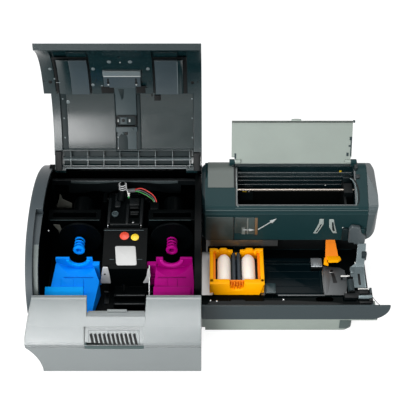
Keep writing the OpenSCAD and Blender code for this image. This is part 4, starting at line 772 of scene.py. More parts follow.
# behind the beam: a painted highlight along the rear rail, pale patches of painted light on the case wall and the
# beam, painted highlights along the beam's edges
railHighlightOutline = [(-198.5, 116.5), (-185, 115.2), (-171.3, 114.9), (-160, 115.4), (-149.4, 116.4), (-139, 117.8),
    (-130.2, 118.6), (-114, 118.6), (-98.5, 118.0), (-84, 116.2), (-69.7, 114.9), (-56, 115.4), (-43.5, 116.6),
    (-43.5, 120.8), (-198.5, 120.8)]
addPiece("railHighlightStrip", "railHighlight", plate(np.array(railHighlightOutline), 63.2, 63.9, "y", 0.2))
wallLightOutline = [(-226.0, 66.0), (-220.1, 82.7), (-216.1, 99.4), (-213.9, 86.6), (-200.7, 77.4), (-201.8, 66.0)]
beamLightPatch = [(-219.6, 103.8), (-209.4, 102.6), (-206.6, 84.0), (-206.8, 66.0), (-211.0, 70.0), (-212.6, 92.0)]
addPiece("wallLightPatches", "glimpseLight", plate(rounded(wallLightOutline, 1.2), 60.0, 60.8, "y", 0.2))
addPiece("beamLightPatch", "glimpseLight", plate(rounded(beamLightPatch, 1.2), -7.2, -6.2, "y", 0.2))
addPiece("beamEdgeHighlights", "beamHighlightTeal", tube(np.linspace((-222, -6.3, 111.8), (-153, -6.3, 111.8), 8), 0.5, 10),
    tube(np.linspace((-83, -6.3, 111.8), (-24, -6.3, 111.8), 8), 0.5, 10))

# left side: filler behind the step of the band, a painted highlight along the ledge and a sheet of painted shade
# over the inner wall
addPiece("sideStep", "sidePlastic", box(-239.6, -224.9, -31.7, -29.6, 150.6, 159.4, 0.4, 0.3))

ledgeOuter = -233.2


def topCurve(start, end, depth, count):
    # points (y, z) on the curved top, depth mm under it; start and end are angles from upright, forward positive
    t = np.radians(np.linspace(start, end, count))
    crownPart, browPart = [np.column_stack([y - (r - depth) * np.sin(t), z + (r - depth) * np.cos(t)])
                           for y, z, r in (coverCurve["crown"], coverCurve["brow"])]
    return np.where((t < radians(coverCurve["joinAngle"]))[:, None], crownPart, browPart)


def ledgeStrip(inner, depth, thick, start, end, count=40):
    # a strip on the ledge of the left band, from its outer edge to an inner one that runs from inner[0] to inner[1]
    top, bottom = topCurve(start, end, depth, count), topCurve(start, end, depth + thick, count)
    edges = np.linspace(inner[0], inner[1], count)
    outer = np.full(count, ledgeOuter)
    x = np.stack([outer, edges, edges, outer], 1)[:, :, None]
    return skinned(np.concatenate([x, np.stack([top, top, bottom, bottom], 1)], 2) * mm)


addPiece("sideLedgeBack", "sidePlastic", ledgeStrip((-225.2, -226.6), 9.4, 0.4, 3.4, 24))
addPiece("sideLedge", "sideLedgeHighlight", ledgeStrip((-226.6, -227.6), 9.4, 0.4, 24, 68))
voidOutline = np.vstack([topCurve(-27, 66, 12.6, 30), [(-128.0, 46.0), (57.0, 46.0)]])
addPiece("sideShadeSheet", "voidShadeBlack", plate(voidOutline[::-1], -225.9, -225.5, "x", 0.1))

# cradle relief: rim round the notch in a painted highlight, steps and lines on the slope in painted shade
cradleSlope = {"y": -66.0, "height": 81.5, "tilt": 28.4, "rise": 0.5403, "seatHeight": 93.2}


def onCradle(shape, x, y):
    # a flat shape made round the origin, laid on a cradle's slope at (x, y)
    z = cradleSlope["height"] + (y - cradleSlope["y"]) * cradleSlope["rise"]
    return moved(turned(shape, (1, 0, 0), cradleSlope["tilt"]), (x * mm, y * mm, (z + 0.1) * mm))


def notchRim(x, inner, outer):
    # half ring on the upright face under the spool's seat
    arc = np.radians(np.linspace(188, 352, 34))
    wide, narrow = [np.column_stack([x + r * np.cos(arc), cradleSlope["seatHeight"] + r * np.sin(arc)])
                    for r in (outer, inner)]
    return plate(np.vstack([wide, narrow[::-1]]), -63.6, -61.6, "y", 0.4)


blockSide = np.array([(-94.8, 72.0), (-94.8, 66.0), (-127.6, 48.0), (-127.6, 55.5)])
# the supply block is painted in the lighter blue as a painted highlight
for name, left, right, finish in (("supply", -224.4, -171.8, "blueHighlight"),
        ("takeup", -75.2, -23.8, "magentaPlastic")):
    addPiece(name + "Block", finish, plate(blockSide, left, right, "x", 0.5))
for name, x, half, highlightFinish, shadeFinish, baseFinish in (
        ("supply", -180.0, 25.0, "blueHighlight", "blueShade", "bluePlastic"),
        ("takeup", -50.5, 24.0, "magentaHighlight", "magentaShade", "magentaPlastic")):
    addPiece(name + "Rim", highlightFinish, notchRim(x, 12.3, 16.4))
    addPiece(name + "Step", shadeFinish, onCradle(box(-half + 5, half - 4, -1.0, 0.2, 0, 0.5, 0.3, 0.1), x, -79.4))
    addPiece(name + "Raised", baseFinish, onCradle(box(-9.0, 9.0, -8.2, 7.0, -0.4, 1.0, 0.8, 0.5), x - 14.6, -87.2))
    addPiece(name + "RaisedEdge", shadeFinish,
        onCradle(box(-0.4, 0.4, -8.2, 6.0, 0, 0.5, 0.2, 0.1), x + 8.0, -87.2))
print("print station fitted")


# card feeder: cleaning cassette
def slidBack(shape, rate, level):
    # a shear in y that follows the height: y moves by rate for each unit of height under level (mm)
    points = shape[0].copy()
    points[:, 1] -= rate * (level * mm - points[:, 2])
    return points, shape[1]


def mirroredOutline(half, centre):
    # an outline from its left half, top and bottom, and the same half the other way round
    left = np.array(half, float)
    right = left[::-1].copy()
    right[:, 0] = 2 * centre - right[:, 0]
    return np.vstack([left, right])


cassette = {"left": 2.2, "right": 77.8, "floor": 55.2, "top": 79.0, "back": -30.2, "front": -95.4, "slope": 0.09,
    "wall": 5.2}
cl, cr, cb, ct = cassette["left"], cassette["right"], cassette["floor"], cassette["top"]
middle = (cl + cr) / 2
frontOutline = rounded(mirroredOutline(
        [(middle - 6.0, 67.6), (middle - 8.6, 70.5), (middle - 10.2, ct), (cl, ct), (cl, 76.6), (cl + 1.8, 75.6),
            (cl + 2.4, 70.0), (cl + 6.4, 57.2)], middle), 1.0, 4)
frontWall = slidBack(plate(frontOutline, cassette["front"], cassette["front"] + 8.8, "y", 0.6), cassette["slope"],
    ct)
gripBack = slidBack(box(middle - 11, middle + 11, -88.6, -86.8, 64, ct - 1.4, 0.4), cassette["slope"], ct)
rearOutline = mirroredOutline(
    [(cl, cb + 4), (cl, ct + 0.6), (cl + 11.0, ct + 0.4), (cl + 12.6, ct - 2.6), (cl + 15.5, ct + 1.4),
        (cl + 23.5, ct + 1.4), (cl + 26.0, ct - 1.8), (cl + 32.6, ct - 2.2), (cl + 33.0, ct - 9),
        (middle - 0.4, ct - 9)], middle)
sides = [plate(rounded([(-92, cb), (-31, cb), (-31, ct), (-92, ct)], 0.8), low, low + cassette["wall"], "x", 0.6)
         for low in (cl, cr - cassette["wall"])]
rear = plate(rounded(rearOutline, 0.7, 4), -34.6, cassette["back"], "y", 0.5)
hooks = [box(x0, x1, -37.0, -33.0, 71, ct + 0.3, 0.8, 0.4) for x0, x1 in ((cl + 9, cl + 12.6), (cr - 12.6, cr - 9))]
addPiece("cassetteShell", "orangePlastic", frontWall, rear, *sides, *hooks, body="cassette",
    replaces=["cleaning_cassette"])
gripRibs = [slidBack(
        box(middle - 8.0 + 3.7 * i, middle - 6.6 + 3.7 * i, -94.4, -88.0, 67.8 if 0 < i < 4 else 70.6, ct - 2.4,
            0.5),
        cassette["slope"], ct)
    for i in range(5)]
addPiece("cassetteGrip", "orangeShade", gripBack, *gripRibs, body="cassette")
gripRim = smoothPath([(middle - 11.4, -95.2, ct - 0.2), (middle - 9.9, -96.0, 71.4), (middle - 7.6, -96.3, 67.6),
                      (middle, -96.5, 66.0), (middle + 7.6, -96.3, 67.6), (middle + 9.9, -96.0, 71.4),
                      (middle + 11.4, -95.2, ct - 0.2)], 60)
addPiece("cassetteGripRim", "orangePlastic", tube(gripRim, 0.75, 10), body="cassette")
addPiece("cassetteLining", "orangeShade", box(cl + 5, cl + 8.4, -87, -34.4, 60, ct - 5, 0.6),
    box(cr - 8.4, cr - 5, -87, -34.4, 60, ct - 5, 0.6), body="cassette")
# the well inside the cassette is painted shade
addPiece("cassetteWell", "holeShadeBlack", box(cl + 8, 13.0, -86.6, -34.6, 57, 62, 0.4),
    box(32.2, 33.4, -86.6, -34.6, 60, 71, 0.3), box(45.8, 47.0, -86.6, -34.6, 60, 71, 0.3),
    box(66.0, cr - 8, -86.6, -34.6, 57, 62, 0.4), body="cassette")
rollerShape = [(-86.0, 3.4), (-85.8, 8.2), (-85.2, 9.2), (-84.2, 9.5), (-46.5, 9.5), (-43.0, 9.1), (-38.6, 6.6),
    (-37.0, 5.4), (-36.2, 3.4)]
for name, x, body in (("Left", 22.5, "left_cleaning_roller"), ("Right", 56.5, "right_cleaning_roller")):
    addPiece("cleaningSleeve" + name, "whiteRubber", turnedProfile(rollerShape, (x, 0, 68.5), "y", 40), body=body,
        replaces=["cleaning_roller_" + name.lower()])
    addPiece("cleaningAxle" + name, "brightSteel",
        turnedProfile([(-89.4, 2.1), (-89.0, 2.4), (-32.0, 2.4), (-31.6, 2.1)], (x, 0, 68.5), "y", 24), body=body)

# card feeder: bed
addPiece("trayShell", "trayGloss", box(79.4, 160.8, -95.6, -36.2, 53.1, 54.0, 2.0),
    box(79.4, 82.0, -95.6, -36.2, 53.6, 56.2, 1.0), box(158.2, 160.8, -95.6, -36.2, 53.6, 56.2, 1.0),
    box(79.4, 160.8, -95.6, -92.8, 53.6, 56.2, 1.0), box(79.4, 160.8, -38.8, -36.2, 53.6, 56.4, 1.0),
    replaces=["card_tray"])
addPiece("trayRidges", "trayGloss", *[box(84, 156, y, y + 1.2, 53.8, 54.5, 0.5) for y in (-52.5, -66.0, -80.0)])
addPiece("trayStop", "stopTeal", box(79.0, 94.2, -97.2, -78.8, 53.2, 61.2, 1.6, 0.6),
    box(80.6, 92.6, -95.4, -80.6, 60.8, 61.7, 1.2, 0.3))
addPiece("trayClip", "clipSteel", box(146.2, 161.8, -48.4, -32.2, 59.4, 60.6, 1.0),
    box(146.4, 161.6, -33.6, -32.2, 53.4, 60.0, 0.5), box(147.6, 149.0, -47.6, -34.0, 60.4, 60.9, 0.4),
    box(159.2, 160.6, -47.6, -34.0, 60.4, 60.9, 0.4))
addPiece("trayClipBar", "deepBlack", box(145.8, 162.2, -50.6, -44.6, 53.6, 59.2, 0.8))
guideOutline = rounded(
    [(161.4, -97.4), (187.6, -97.4), (193.2, -88.0), (196.6, -71.0), (193.0, -50.0), (187.0, -45.2),
        (163.4, -42.6)], 1.6, 4)
addPiece("guideSheet", "guideGrey", plate(guideOutline, 54.3, 55.0, "z", 0.2))
creasePlan = np.array([(161.8, -96.9), (168.0, -86.5), (173.6, -60.0), (170.6, -43.4), (163.6, -42.9)])
addPiece("guideFold", "guideShade", plate(rounded(creasePlan, 0.8, 4), 54.8, 55.25, "z", 0.15))
addPiece("guideEdge", "guideGrey", box(97.0, 162.4, -98.6, -96.2, 54.0, 57.4, 0.5))
slotPlan = rounded([(175.6, -73.6), (181.4, -73.6), (179.4, -62.6), (177.6, -55.2), (173.8, -55.2), (174.8, -62.8)],
    0.8, 4)
# the guide's openings are painted shade
addPiece("guideOpenings", "holeShadeBlack", plate(slotPlan, 54.9, 55.4, "z", 0.1),
    turnedProfile([(54.9, 2.2), (55.4, 2.1)], (175.2, -51.4, 0), "z", 24))
addPiece("guideHoleRim", "brightSteel",
    tube(smoothPath([(171.4, -53.6, 55.3), (173.4, -55.0, 55.5), (176.4, -55.0, 55.5), (178.2, -53.4, 55.3)], 16),
        0.4, 8))
addPiece("bedStep", "trayGloss", box(79.4, 146.0, -34.0, -28.0, 53.0, 55.6, 1.0),
    box(164.0, 175.0, -36.0, -26.0, 53.0, 56.0, 1.0))
stripPlan = rounded([(-8.6, -99.0), (3.6, -99.0), (7.4, -93.0), (7.4, -16.0), (-8.6, -16.0)],
    [0.4, 4.0, 2.0, 0.4, 0.4], 5)
# the strip is painted light
addPiece("leftStrip", "stripSteelLit", plate(stripPlan, 54.2, 55.1, "z", 0.25))
addPiece("shelfScrews", "brightSteel",
    *[turnedProfile([(56.4, 1.7), (57.2, 1.6), (57.6, 1.0)], (x, y, 0), "z", 20)
        for x, y in ((104.2, -105.0), (3.2, -106.5), (12.0, -107.6))])
addPiece("shelfRecess", "shelfGrey",
    plate(rounded(
            [(150.0, -108.4), (172.0, -108.4), (174.0, -104.0), (170.0, -100.6), (152.0, -100.6), (148.0, -104.0)],
            2.4, 5), 56.6, 57.0, "z", 0.15))
rollerRidges = [(-93.4, 3.6), (-93.0, 4.5)]
for k in range(9):
    rollerRidges += [(-92.4 + 2.3 * k, 4.6), (-91.2 + 2.3 * k, 4.6), (-90.9 + 2.3 * k, 4.1), (-90.4 + 2.3 * k, 4.1)]
rollerRidges += [(-72.2, 4.4), (-71.9, 3.6)]
addPiece("endRollerGrip", "rollerTeal", turnedProfile(rollerRidges, (199.2, 0, 58.4), "y", 36), body="end_roll",
    replaces=["end_roller"])
addPiece("endRollerPins", "blackSatin",
    turnedProfile([(-95.9, 1.2), (-95.6, 1.5), (-69.7, 1.5), (-69.4, 1.2)], (199.2, 0, 58.4), "y", 20),
    body="end_roll")
addPiece("endRollerBlock", "blackSatin", box(188.0, 206.4, -105.6, -97.4, 56.4, 62.0, 1.6, 0.5),
    box(204.0, 210.0, -104.0, -92.0, 56.4, 60.0, 1.2, 0.4))

addPiece("bedShade", "holeShadeBlack", box(79.6, 221.4, -11.4, -10.85, 56.0, 87.6, 0.2, 0.1, "y"))
addPiece("shelfGlass", "mirrorBlack", box(-8.6, 224.6, -114.4, -97.3, 56.5, 57.0, 0.3, 0.12))


# card feeder: bracket, latch and orange lever
def ribbon(path, halves, thick, axisX):
    # a sheet that follows a path in (y, z): each station is a flat rectangle of its own half width (mm)
    path, halves = np.array(path, float), np.array(halves, float)
    along = np.gradient(path, axis=0)
    along /= np.linalg.norm(along, axis=1)[:, None]
    across = np.stack([-along[:, 1], along[:, 0]], -1) * thick / 2
    middle = np.array(axisX, float) * np.ones(len(path))
    corners = [(-1, 1), (1, 1), (1, -1), (-1, -1)]
    rings = np.stack([np.column_stack([middle + s * halves, path + t * across]) for s, t in corners], 1)
    return skinned(rings * mm)


def curvedRows(rows, count):
    # rows of (y, z, half width, centre) drawn out to a smooth run
    rows = np.array(rows, float)
    fine = smoothPath(rows[:, :3], count)
    centre = np.interp(np.linspace(0, 1, count), np.linspace(0, 1, len(rows)), rows[:, 3])
    return fine[:, :2], fine[:, 2], centre


path, halves, centre = curvedRows([(-25.6, 84.0, 5.8, 217.6), (-29.4, 78.0, 6.0, 217.4), (-36.0, 68.6, 6.1, 216.8),
                                   (-40.6, 59.6, 6.4, 215.8), (-43.6, 56.8, 8.6, 213.4), (-47.5, 56.0, 10.2, 211.4),
                                   (-64.0, 56.0, 10.2, 211.2), (-83.4, 56.0, 9.6, 210.8)], 60)
addPiece("bracketSheet", "bracketPale", ribbon(path, halves, 1.7, centre), replaces=["side_bracket"])
# the bracket's slot is painted shade
addPiece("bracketSlot", "holeShadeBlack",
    plate(rounded([(210.6, -79.0), (214.0, -79.0), (214.2, -58.4), (211.0, -58.4)], 0.9, 4), 56.7, 57.0, "z", 0.1))
addPiece("bracketHook", "bracketPale", box(201.0, 205.6, -58.0, -50.4, 56.2, 58.6, 1.2, 0.4),
    box(219.0, 221.0, -84.0, -46.0, 55.6, 57.4, 0.6, 0.3))
addPiece("bracketClip", "rollerTeal", box(217.6, 224.6, -38.2, -32.4, 62.0, 75.5, 1.2, 0.5),
    box(219.2, 223.2, -39.0, -36.6, 67.0, 73.0, 0.8, 0.3))
headOutline = rounded(
    [(198.0, 86.2), (205.5, 86.2), (206.5, 83.0), (221.4, 83.0), (221.4, 99.0), (215.0, 106.0), (212.0, 117.0),
        (200.2, 119.4), (196.8, 113.0)], 2.4, 5)
addPiece("bracketHead", "bracketSlate", plate(headOutline, -26.4, -20.4, "y", 1.2))
addPiece("bracketShade", "shadeTeal", box(188.0, 196.6, -24.0, -19.6, 88.4, 112.0, 2.4, 0.4, "y"))
addPiece("latchPin", "whiteWire",
    turnedProfile([(208.6, 0.8), (209.0, 1.3), (223.6, 1.3), (224.0, 0.8)], (0, -87.6, 58.2), "x", 20))
addPiece("latchBlock", "blackSatin", box(209.6, 222.4, -96.6, -88.8, 54.6, 59.6, 1.0, 0.4),
    box(222.0, 227.4, -110.0, -96.0, 56.4, 60.4, 1.4, 0.5), box(208.6, 227.0, -112.4, -108.2, 56.6, 58.4, 0.6, 0.3))
addPiece("latchDrum", "bracketPale",
    turnedProfile([(207.6, 1.8), (208.2, 2.7), (224.8, 2.9), (226.6, 2.4)], (0, -102.6, 59.4), "x", 28))
addPiece("latchWire", "darkSteel",
    tube(
        smoothPath([(224.0, -99.4, 60.6), (228.0, -105.0, 60.2), (233.0, -112.6, 58.6), (238.0, -116.6, 57.2)], 24),
        0.42, 8))
addPiece("crossPin", "whiteWire",
    turnedProfile([(186.2, 0.7), (186.6, 1.1), (198.4, 1.1), (198.8, 0.7)], (0, -66.2, 61.0), "x", 18),
    turnedProfile([(208.0, 0.6), (208.4, 1.0), (210.2, 1.0)], (0, -40.6, 59.8), "x", 16))
addPiece("crossPinPosts", "blackSatin", box(186.8, 189.2, -68.0, -64.4, 54.2, 60.4, 0.6),
    box(195.4, 197.6, -68.0, -64.4, 54.2, 60.4, 0.6))

gatePath, gateHalf, gateCentre = curvedRows(
    [(-15.4, 90.0, 6.0, 173.2), (-15.4, 85.0, 6.2, 173.4), (-19.4, 79.0, 7.0, 174.2), (-28.0, 73.0, 8.2, 175.0),
        (-36.4, 68.6, 9.2, 175.4), (-40.0, 65.0, 9.8, 175.6)], 36)
gateRing = turnedProfile([(181, 2.0), (181, 3.2), (166, 3.2), (166, 2.0), (181, 2.0)], (0, -14.45, 94), "x", 32,
    False)
addPiece("gateArm", "orangeShade", ribbon(gatePath, gateHalf, 2.8, gateCentre), gateRing, body="gate",
    replaces=["gate_lever"])
knobOutline = rounded([(170.0, -48.6), (183.6, -47.8), (188.2, -43.6), (186.4, -36.4), (167.4, -36.4)],
    [1.2, 3.0, 2.4, 1.4, 1.2], 5)
knob = turned(plate(knobOutline, 67.4, 71.0, "z", 0.9), (1, 0, 0), -10, (0, -42 * mm, 69 * mm))
addPiece("gateKnob", "orangePlastic", knob, body="gate")
addPiece("gateFoot", "orangePlastic",
    plate(rounded([(163.6, -47.0), (170.6, -49.4), (167.0, -37.0), (165.0, -36.0)], 0.8, 4), 62.6, 66.8, "z", 0.5),
    body="gate")

# card feeder: hood
hoodFront = {"y": -22, "height": 88, "lean": 0.0708}


def onHood(shape):
    # a shape made round y = 0 laid on the sloping front: y = foot + lean (z - height)
    points = shape[0].copy()
    points[:, 1] += (hoodFront["y"] + hoodFront["lean"] * (points[:, 2] / mm - hoodFront["height"])) * mm
    return points, shape[1]


def flatMark(outline, radius=0.3, depth=0.35):
    # a thin mark on the hood's sloping front, drawn in (x, z)
    return onHood(plate(rounded(outline, radius, 4), -depth, 0.1, "y", 0.08))


def arrow(a, b, width, head):
    # a straight arrow from a to b in the front's own (x, z)
    a, b = np.array(a, float), np.array(b, float)
    d = (b - a) / np.linalg.norm(b - a)
    n = np.array([-d[1], d[0]])
    neck = b - d * head * 1.7
    return [a - n * width / 2, neck - n * width / 2, neck - n * head / 2, b, neck + n * head / 2,
        neck + n * width / 2, a + n * width / 2]


hood = {"left": -3.6, "seam": 141.5}
addPiece("hoodWindow", "smokyPanel",
    flatMark([(hood["left"], 88.6), (35.6, 88.6), (35.4, 131.4), (hood["left"] + 1, 131.4)], 1.6, 0.4),
    flatMark([(37.4, 101.0), (64.8, 101.0), (64.2, 130.6), (37.4, 130.6)], 1.0, 0.25))
# dark edges of painted shade round the window and along the hood's foot
addPiece("hoodWindowEdge", "holeShadeBlack",
    flatMark([(35.7, 88.4), (36.9, 88.4), (36.4, 132.2), (35.4, 132.2)], 0.2, 0.5),
    flatMark([(-3.8, 87.7), (102.0, 87.7), (102.0, 88.5), (-3.8, 88.5)], 0.2, 0.5))
addPiece("hoodBars", "barGrey", flatMark([(54.6, 99.4), (56.4, 99.4), (56.0, 129.6), (54.4, 129.6)]),
    flatMark([(47.4, 99.0), (52.4, 99.0), (51.8, 112.0), (47.2, 112.0)]))
addPiece("hoodGlass", "barSmoke", flatMark([(56.8, 99.4), (65.2, 99.4), (64.8, 129.6), (56.6, 129.6)], 0.4))
addPiece("hoodBarBrown", "warmBar", flatMark([(65.8, 98.4), (69.6, 98.4), (69.0, 130.2), (65.2, 130.2)]))
addPiece("hoodArrows", "markGrey", flatMark(arrow((49.0, 107.6), (65.6, 107.6), 1.2, 4.6), 0.1, 0.6),
    flatMark(arrow((70.0, 108.0), (95.4, 129.0), 1.4, 6.0), 0.1, 0.6))
glyphs = [[(148.0, 101.0), (153.4, 101.0), (161.2, 118.4), (160.8, 128.4), (155.2, 128.4), (154.6, 119.6)],
          [(168.4, 127.6), (174.8, 127.6), (176.4, 119.0), (181.0, 101.4), (175.6, 101.4), (169.4, 113.0)]]
addPiece("hoodGlyphs", "glyphPale", *[flatMark(g, 0.6, 0.6) for g in glyphs])
cuts = [[(151.0, 103.2), (152.8, 103.2), (159.0, 118.6), (157.4, 118.6)],
    [(173.8, 109.0), (175.4, 105.6), (177.8, 105.6), (174.6, 122.4), (172.4, 122.4)]]
addPiece("hoodGlyphCuts", "shadeTeal", *[flatMark(g, 0.2, 0.75) for g in cuts])
addPiece("hoodDot", "markGrey",
    onHood(turnedProfile([(-0.5, 1.0), (-0.3, 1.3), (0.1, 1.3)], (188.6, 0, 111.4), "y", 20)))
addPiece("hoodSeam", "seamTeal",
    box(-3.0, 221.4, -16.5, -15.4, hood["seam"] - 0.4, hood["seam"] + 0.4, 0.2, 0.15, "x"),
    box(38.0, 208.0, -14.4, -13.3, hood["seam"] + 1.8, hood["seam"] + 2.4, 0.2, 0.15, "x"))

# left side of the hood, drawn in towards the print station: the hood's own outline, inset more at the outer face
sideOutline = rounded(
    [(-22.0, 89.0), (-18.6, 136.0), (-14.0, 143.0), (-8.0, 147.4), (35.9, 165.6), (44.0, 167.2), (54.0, 164.6),
        (62.0, 157.0), (65.6, 148.0), (65.6, 56.0), (47.0, 56.0), (11.0, 89.0)], 2.0, 4)
sideRings = np.array([placed(inset(sideOutline, depth), x, "x")
        for x, depth in ((-8.6, 6.0), (-8.2, 5.0), (-4.6, 1.2), (-3.6, 0.6))])
addPiece("hoodSide", "hoodEdge", skinned(sideRings * mm))

# smooth plate over the hood's top at the left, running back over the rounded ridge, with a dark line of painted
# shade along its edge
topRows = np.array(
    [(14.0, 156.7), (20.0, 159.2), (28.0, 162.7), (35.0, 165.8), (39.0, 167.0), (44.0, 167.6), (50.0, 166.9),
        (56.0, 164.6), (61.0, 160.0)])
topPath = smoothPath(np.column_stack([topRows, np.zeros(len(topRows))]), 40)[:, :2]
addPiece("hoodTopPlate", "hoodPlate", ribbon(topPath + np.array([0, -0.35]), np.full(40, 18.0), 1.0, 18.0),
    replaces=["hopper_trim"])
addPiece("hoodTopEdge", "holeShadeBlack", ribbon(topPath + np.array([0, -0.3]), np.full(40, 1.1), 0.7, 37.6))
underLid = np.array([0, 0.5, -1.2])      # keeps the trim clear of the closed lid
addPiece("openingTrimLeft", "trimPale",
    tube(smoothPath([(38.8, 50, 167.6), (38.8, 40, 167.2), (39.3, 28, 162.9), (40.2, 10, 155.3), (40.7, -4, 149.3),
                (40.9, -10.2, 146.2)], 50) + underLid, 0.5, 10),
    tube(smoothPath([(40.2, -8.6, 147.0), (40.9, -10.6, 146.2), (42.0, -12.6, 145.2)], 12) + underLid, 0.8, 12))
trimRight = smoothPath(
    [(198.5, 27, 162.6), (202.6, 23.0, 161.0), (206.0, 14, 157.2), (207.0, 4, 153.0), (206.8, -4, 149.6),
        (205.6, -8.4, 147.4), (203.6, -10.8, 146.0)], 60) + underLid
addPiece("openingTrimShadow", "holeShadeBlack", tube(trimRight + np.array([2.4, 0.4, -0.3]), 1.2, 12))
addPiece("openingTrimRight", "trimGrey", tube(trimRight, 0.85, 12))
addPiece("hopperRibs", "linerTeal",
    *[turnedProfile([(41.4, 0.6), (41.8, 1.5), (203.2, 1.5), (203.6, 0.6)], (0, 45.4, z), "x", 20)
        for z in (154.5, 147.0, 139.5, 131.5)])
addPiece("hopperShade", "holeShadeBlack", box(41.3, 203.7, 44.8, 45.9, 57.6, 118.0, 0.3, 0.2, "y"))
addPiece("hopperBits", "coverShadow", box(46.0, 64.5, 44.4, 45.2, 100.0, 128.0, 0.3, 0.2),
    box(41.4, 52.0, 44.4, 45.2, 118.0, 140.0, 0.3, 0.2), box(191.0, 203.4, 40.0, 45.2, 120.0, 150.0, 1.4))
addPiece("hopperDots", "whiteWire", turnedProfile([(43.6, 1.0), (45.0, 1.3)], (167.6, 0, 131.0), "y", 18),
    turnedProfile([(44.0, 0.8), (44.6, 1.1)], (58.8, 0, 118.0), "y", 18))
addPiece("hopperMarks", "yellowMark", box(49.1, 54.5, 44.1, 44.6, 117.2, 118.8, 0.4, 0.1, "y"),
    box(52.9, 55.4, 44.0, 44.5, 116.2, 119.4, 0.6, 0.1, "y"),
    turnedProfile([(45.0, 1.6), (46.3, 1.8)], (186.9, 0, 157.0), "y", 24))

# lid: a dark line of painted shade under its free edge, handle nub and hinge pieces
openLid = {"angle": -116.5, "hinge": (0, 50, 172)}


def onLid(shape):
    # a shape made on the flat lid, turned up about the hinge line
    return moved(turned(shape, (1, 0, 0), openLid["angle"]), np.array(openLid["hinge"]) * mm)


addPiece("lidLine", "holeShadeBlack", onLid(box(33.4, 200.8, -58.4, -56.6, -0.38, 0.2, 0.3, 0.1)), body="lid")
addPiece("lidNub", "palePlastic",
    onLid(joined(box(115.6, 129.4, -60.6, -58.2, -0.2, 3.2, 1.0, 0.4),
            box(119.0, 126.0, -61.4, -60.2, 0.4, 2.6, 0.5, 0.3))), body="lid")
addPiece("lidHinges", "stopTeal",
    onLid(joined(box(37.0, 39.4, -12.0, -4.0, -0.1, 0.7, 0.6), box(197.4, 201.0, -36.0, -31.0, -0.1, 0.7, 0.8),
            box(196.4, 199.4, -24.0, -21.6, -0.1, 0.7, 0.6), box(199.0, 200.6, -31.0, -8.0, -0.1, 0.7, 0.5),
            box(193.8, 197.0, -13.0, -8.0, -0.1, 0.7, 0.6), box(201.4, 204.2, -59.6, -56.0, 0.1, 3.0, 0.8))),
    body="lid")
addPiece("hingeTowers", "coverShadow", box(204.8, 209.4, 38.0, 56.0, 158.0, 171.0, 1.6),
    box(206.0, 212.0, 26.0, 40.0, 156.0, 164.0, 1.4), box(33.4, 36.4, 44.0, 56.0, 160.0, 170.0, 1.2))
print("card feeder fitted")

# front of the print station: crowned skin, vent and base end
slopeLow, slopeHigh = np.array([-184.9, 65.2]), np.array([-142.0, 103.4])
slopeNormal = np.array([-0.665, 0.747])
crown = 2.0      # how far the slope bulges at its middle, mm


def slopePatch(left, right, low, high, count=26):
    # part of the slope between two shares of its height: p = low + v (high - low) + crown 4 v (1 - v) normal,
    # carried straight across, its two ends leaning from left[0] to left[1] and from right[0] to right[1]
    v = np.linspace(low, high, count)[:, None]
    base = slopeLow + (slopeHigh - slopeLow) * v
    loop = np.vstack([base + slopeNormal * (crown * 4 * v * (1 - v) + 0.15), (base - slopeNormal * 0.3)[::-1]])
    share = np.concatenate([v[:, 0], v[::-1, 0]])
    s = np.linspace(0, 1, 12)[:, None]
    x = (left[0] + (left[1] - left[0]) * share) * (1 - s) + (right[0] + (right[1] - right[0]) * share) * s
    return skinned(np.dstack([x, np.broadcast_to(loop[:, 0], x.shape), np.broadcast_to(loop[:, 1], x.shape)]) * mm)


vent = {"top": 0.372, "notch": 0.60, "left": -164.0, "right": -85.0, "slots": 11, "first": -155.3, "pitch": 5.74,
        "lean": 4.2, "slotHalf": 1.6}
addPiece("frontSkin", "silverPlastic", slopePatch((-242.6, -234.4), (vent["left"], vent["left"]), 0.0, vent["top"]),
    slopePatch((-242.6, -234.4), (-160.6, -161.0), vent["top"], 1.0),
    slopePatch((-160.8, -160.8), (-83.2, -83.2), vent["top"], vent["notch"]),
    slopePatch((vent["right"], vent["right"]), (-9.2, -9.2), 0.0, vent["top"]),
    slopePatch((-84.6, -81.4), (-9.2, -9.2), vent["top"], 1.0))
slotPath = np.array([(-184.6, 60.4), (-184.8, 62.0), (-182.6, 64.6), (-179.0, 67.8), (-175.4, 71.0)])
slots = []
for i in range(vent["slots"]):
    x = vent["first"] + vent["pitch"] * i
    slots.append(ribbon(slotPath, np.full(5, vent["slotHalf"]), 1.2, np.linspace(x + vent["lean"], x, 5)))
# the vent's slots are painted shade
addPiece("ventSlots", "holeShadeBlack", *slots)
sill = rounded(
    [(-163.4, 64.5), (-163.8, 56.0), (-158.0, 50.9), (-85.4, 50.9), (-85.4, 60.2), (-159.2, 60.2), (-161.2, 64.5)],
    [0.4, 4.0, 4.0, 0.6, 0.4, 1.6, 0.4], 6)
addPiece("ventSill", "ventTeal", plate(sill, -186.3, -184.6, "y", 0.4))
addPiece("plinthCrease", "silverPlastic", box(-242.0, -9.4, -187.0, -186.3, 61.6, 62.4, 0.3, 0.15))

# dark rounded right end of the feeder's base
endPlan = rounded([(184.0, -118.0), (201.4, -118.0), (201.4, 62.0), (184.0, 62.0)], [0.4, 13.0, 3.0, 0.4], 9)
addPiece("baseEnd", "baseShade", plate(endPlan, 8.6, 25.4, "z", 0.4))
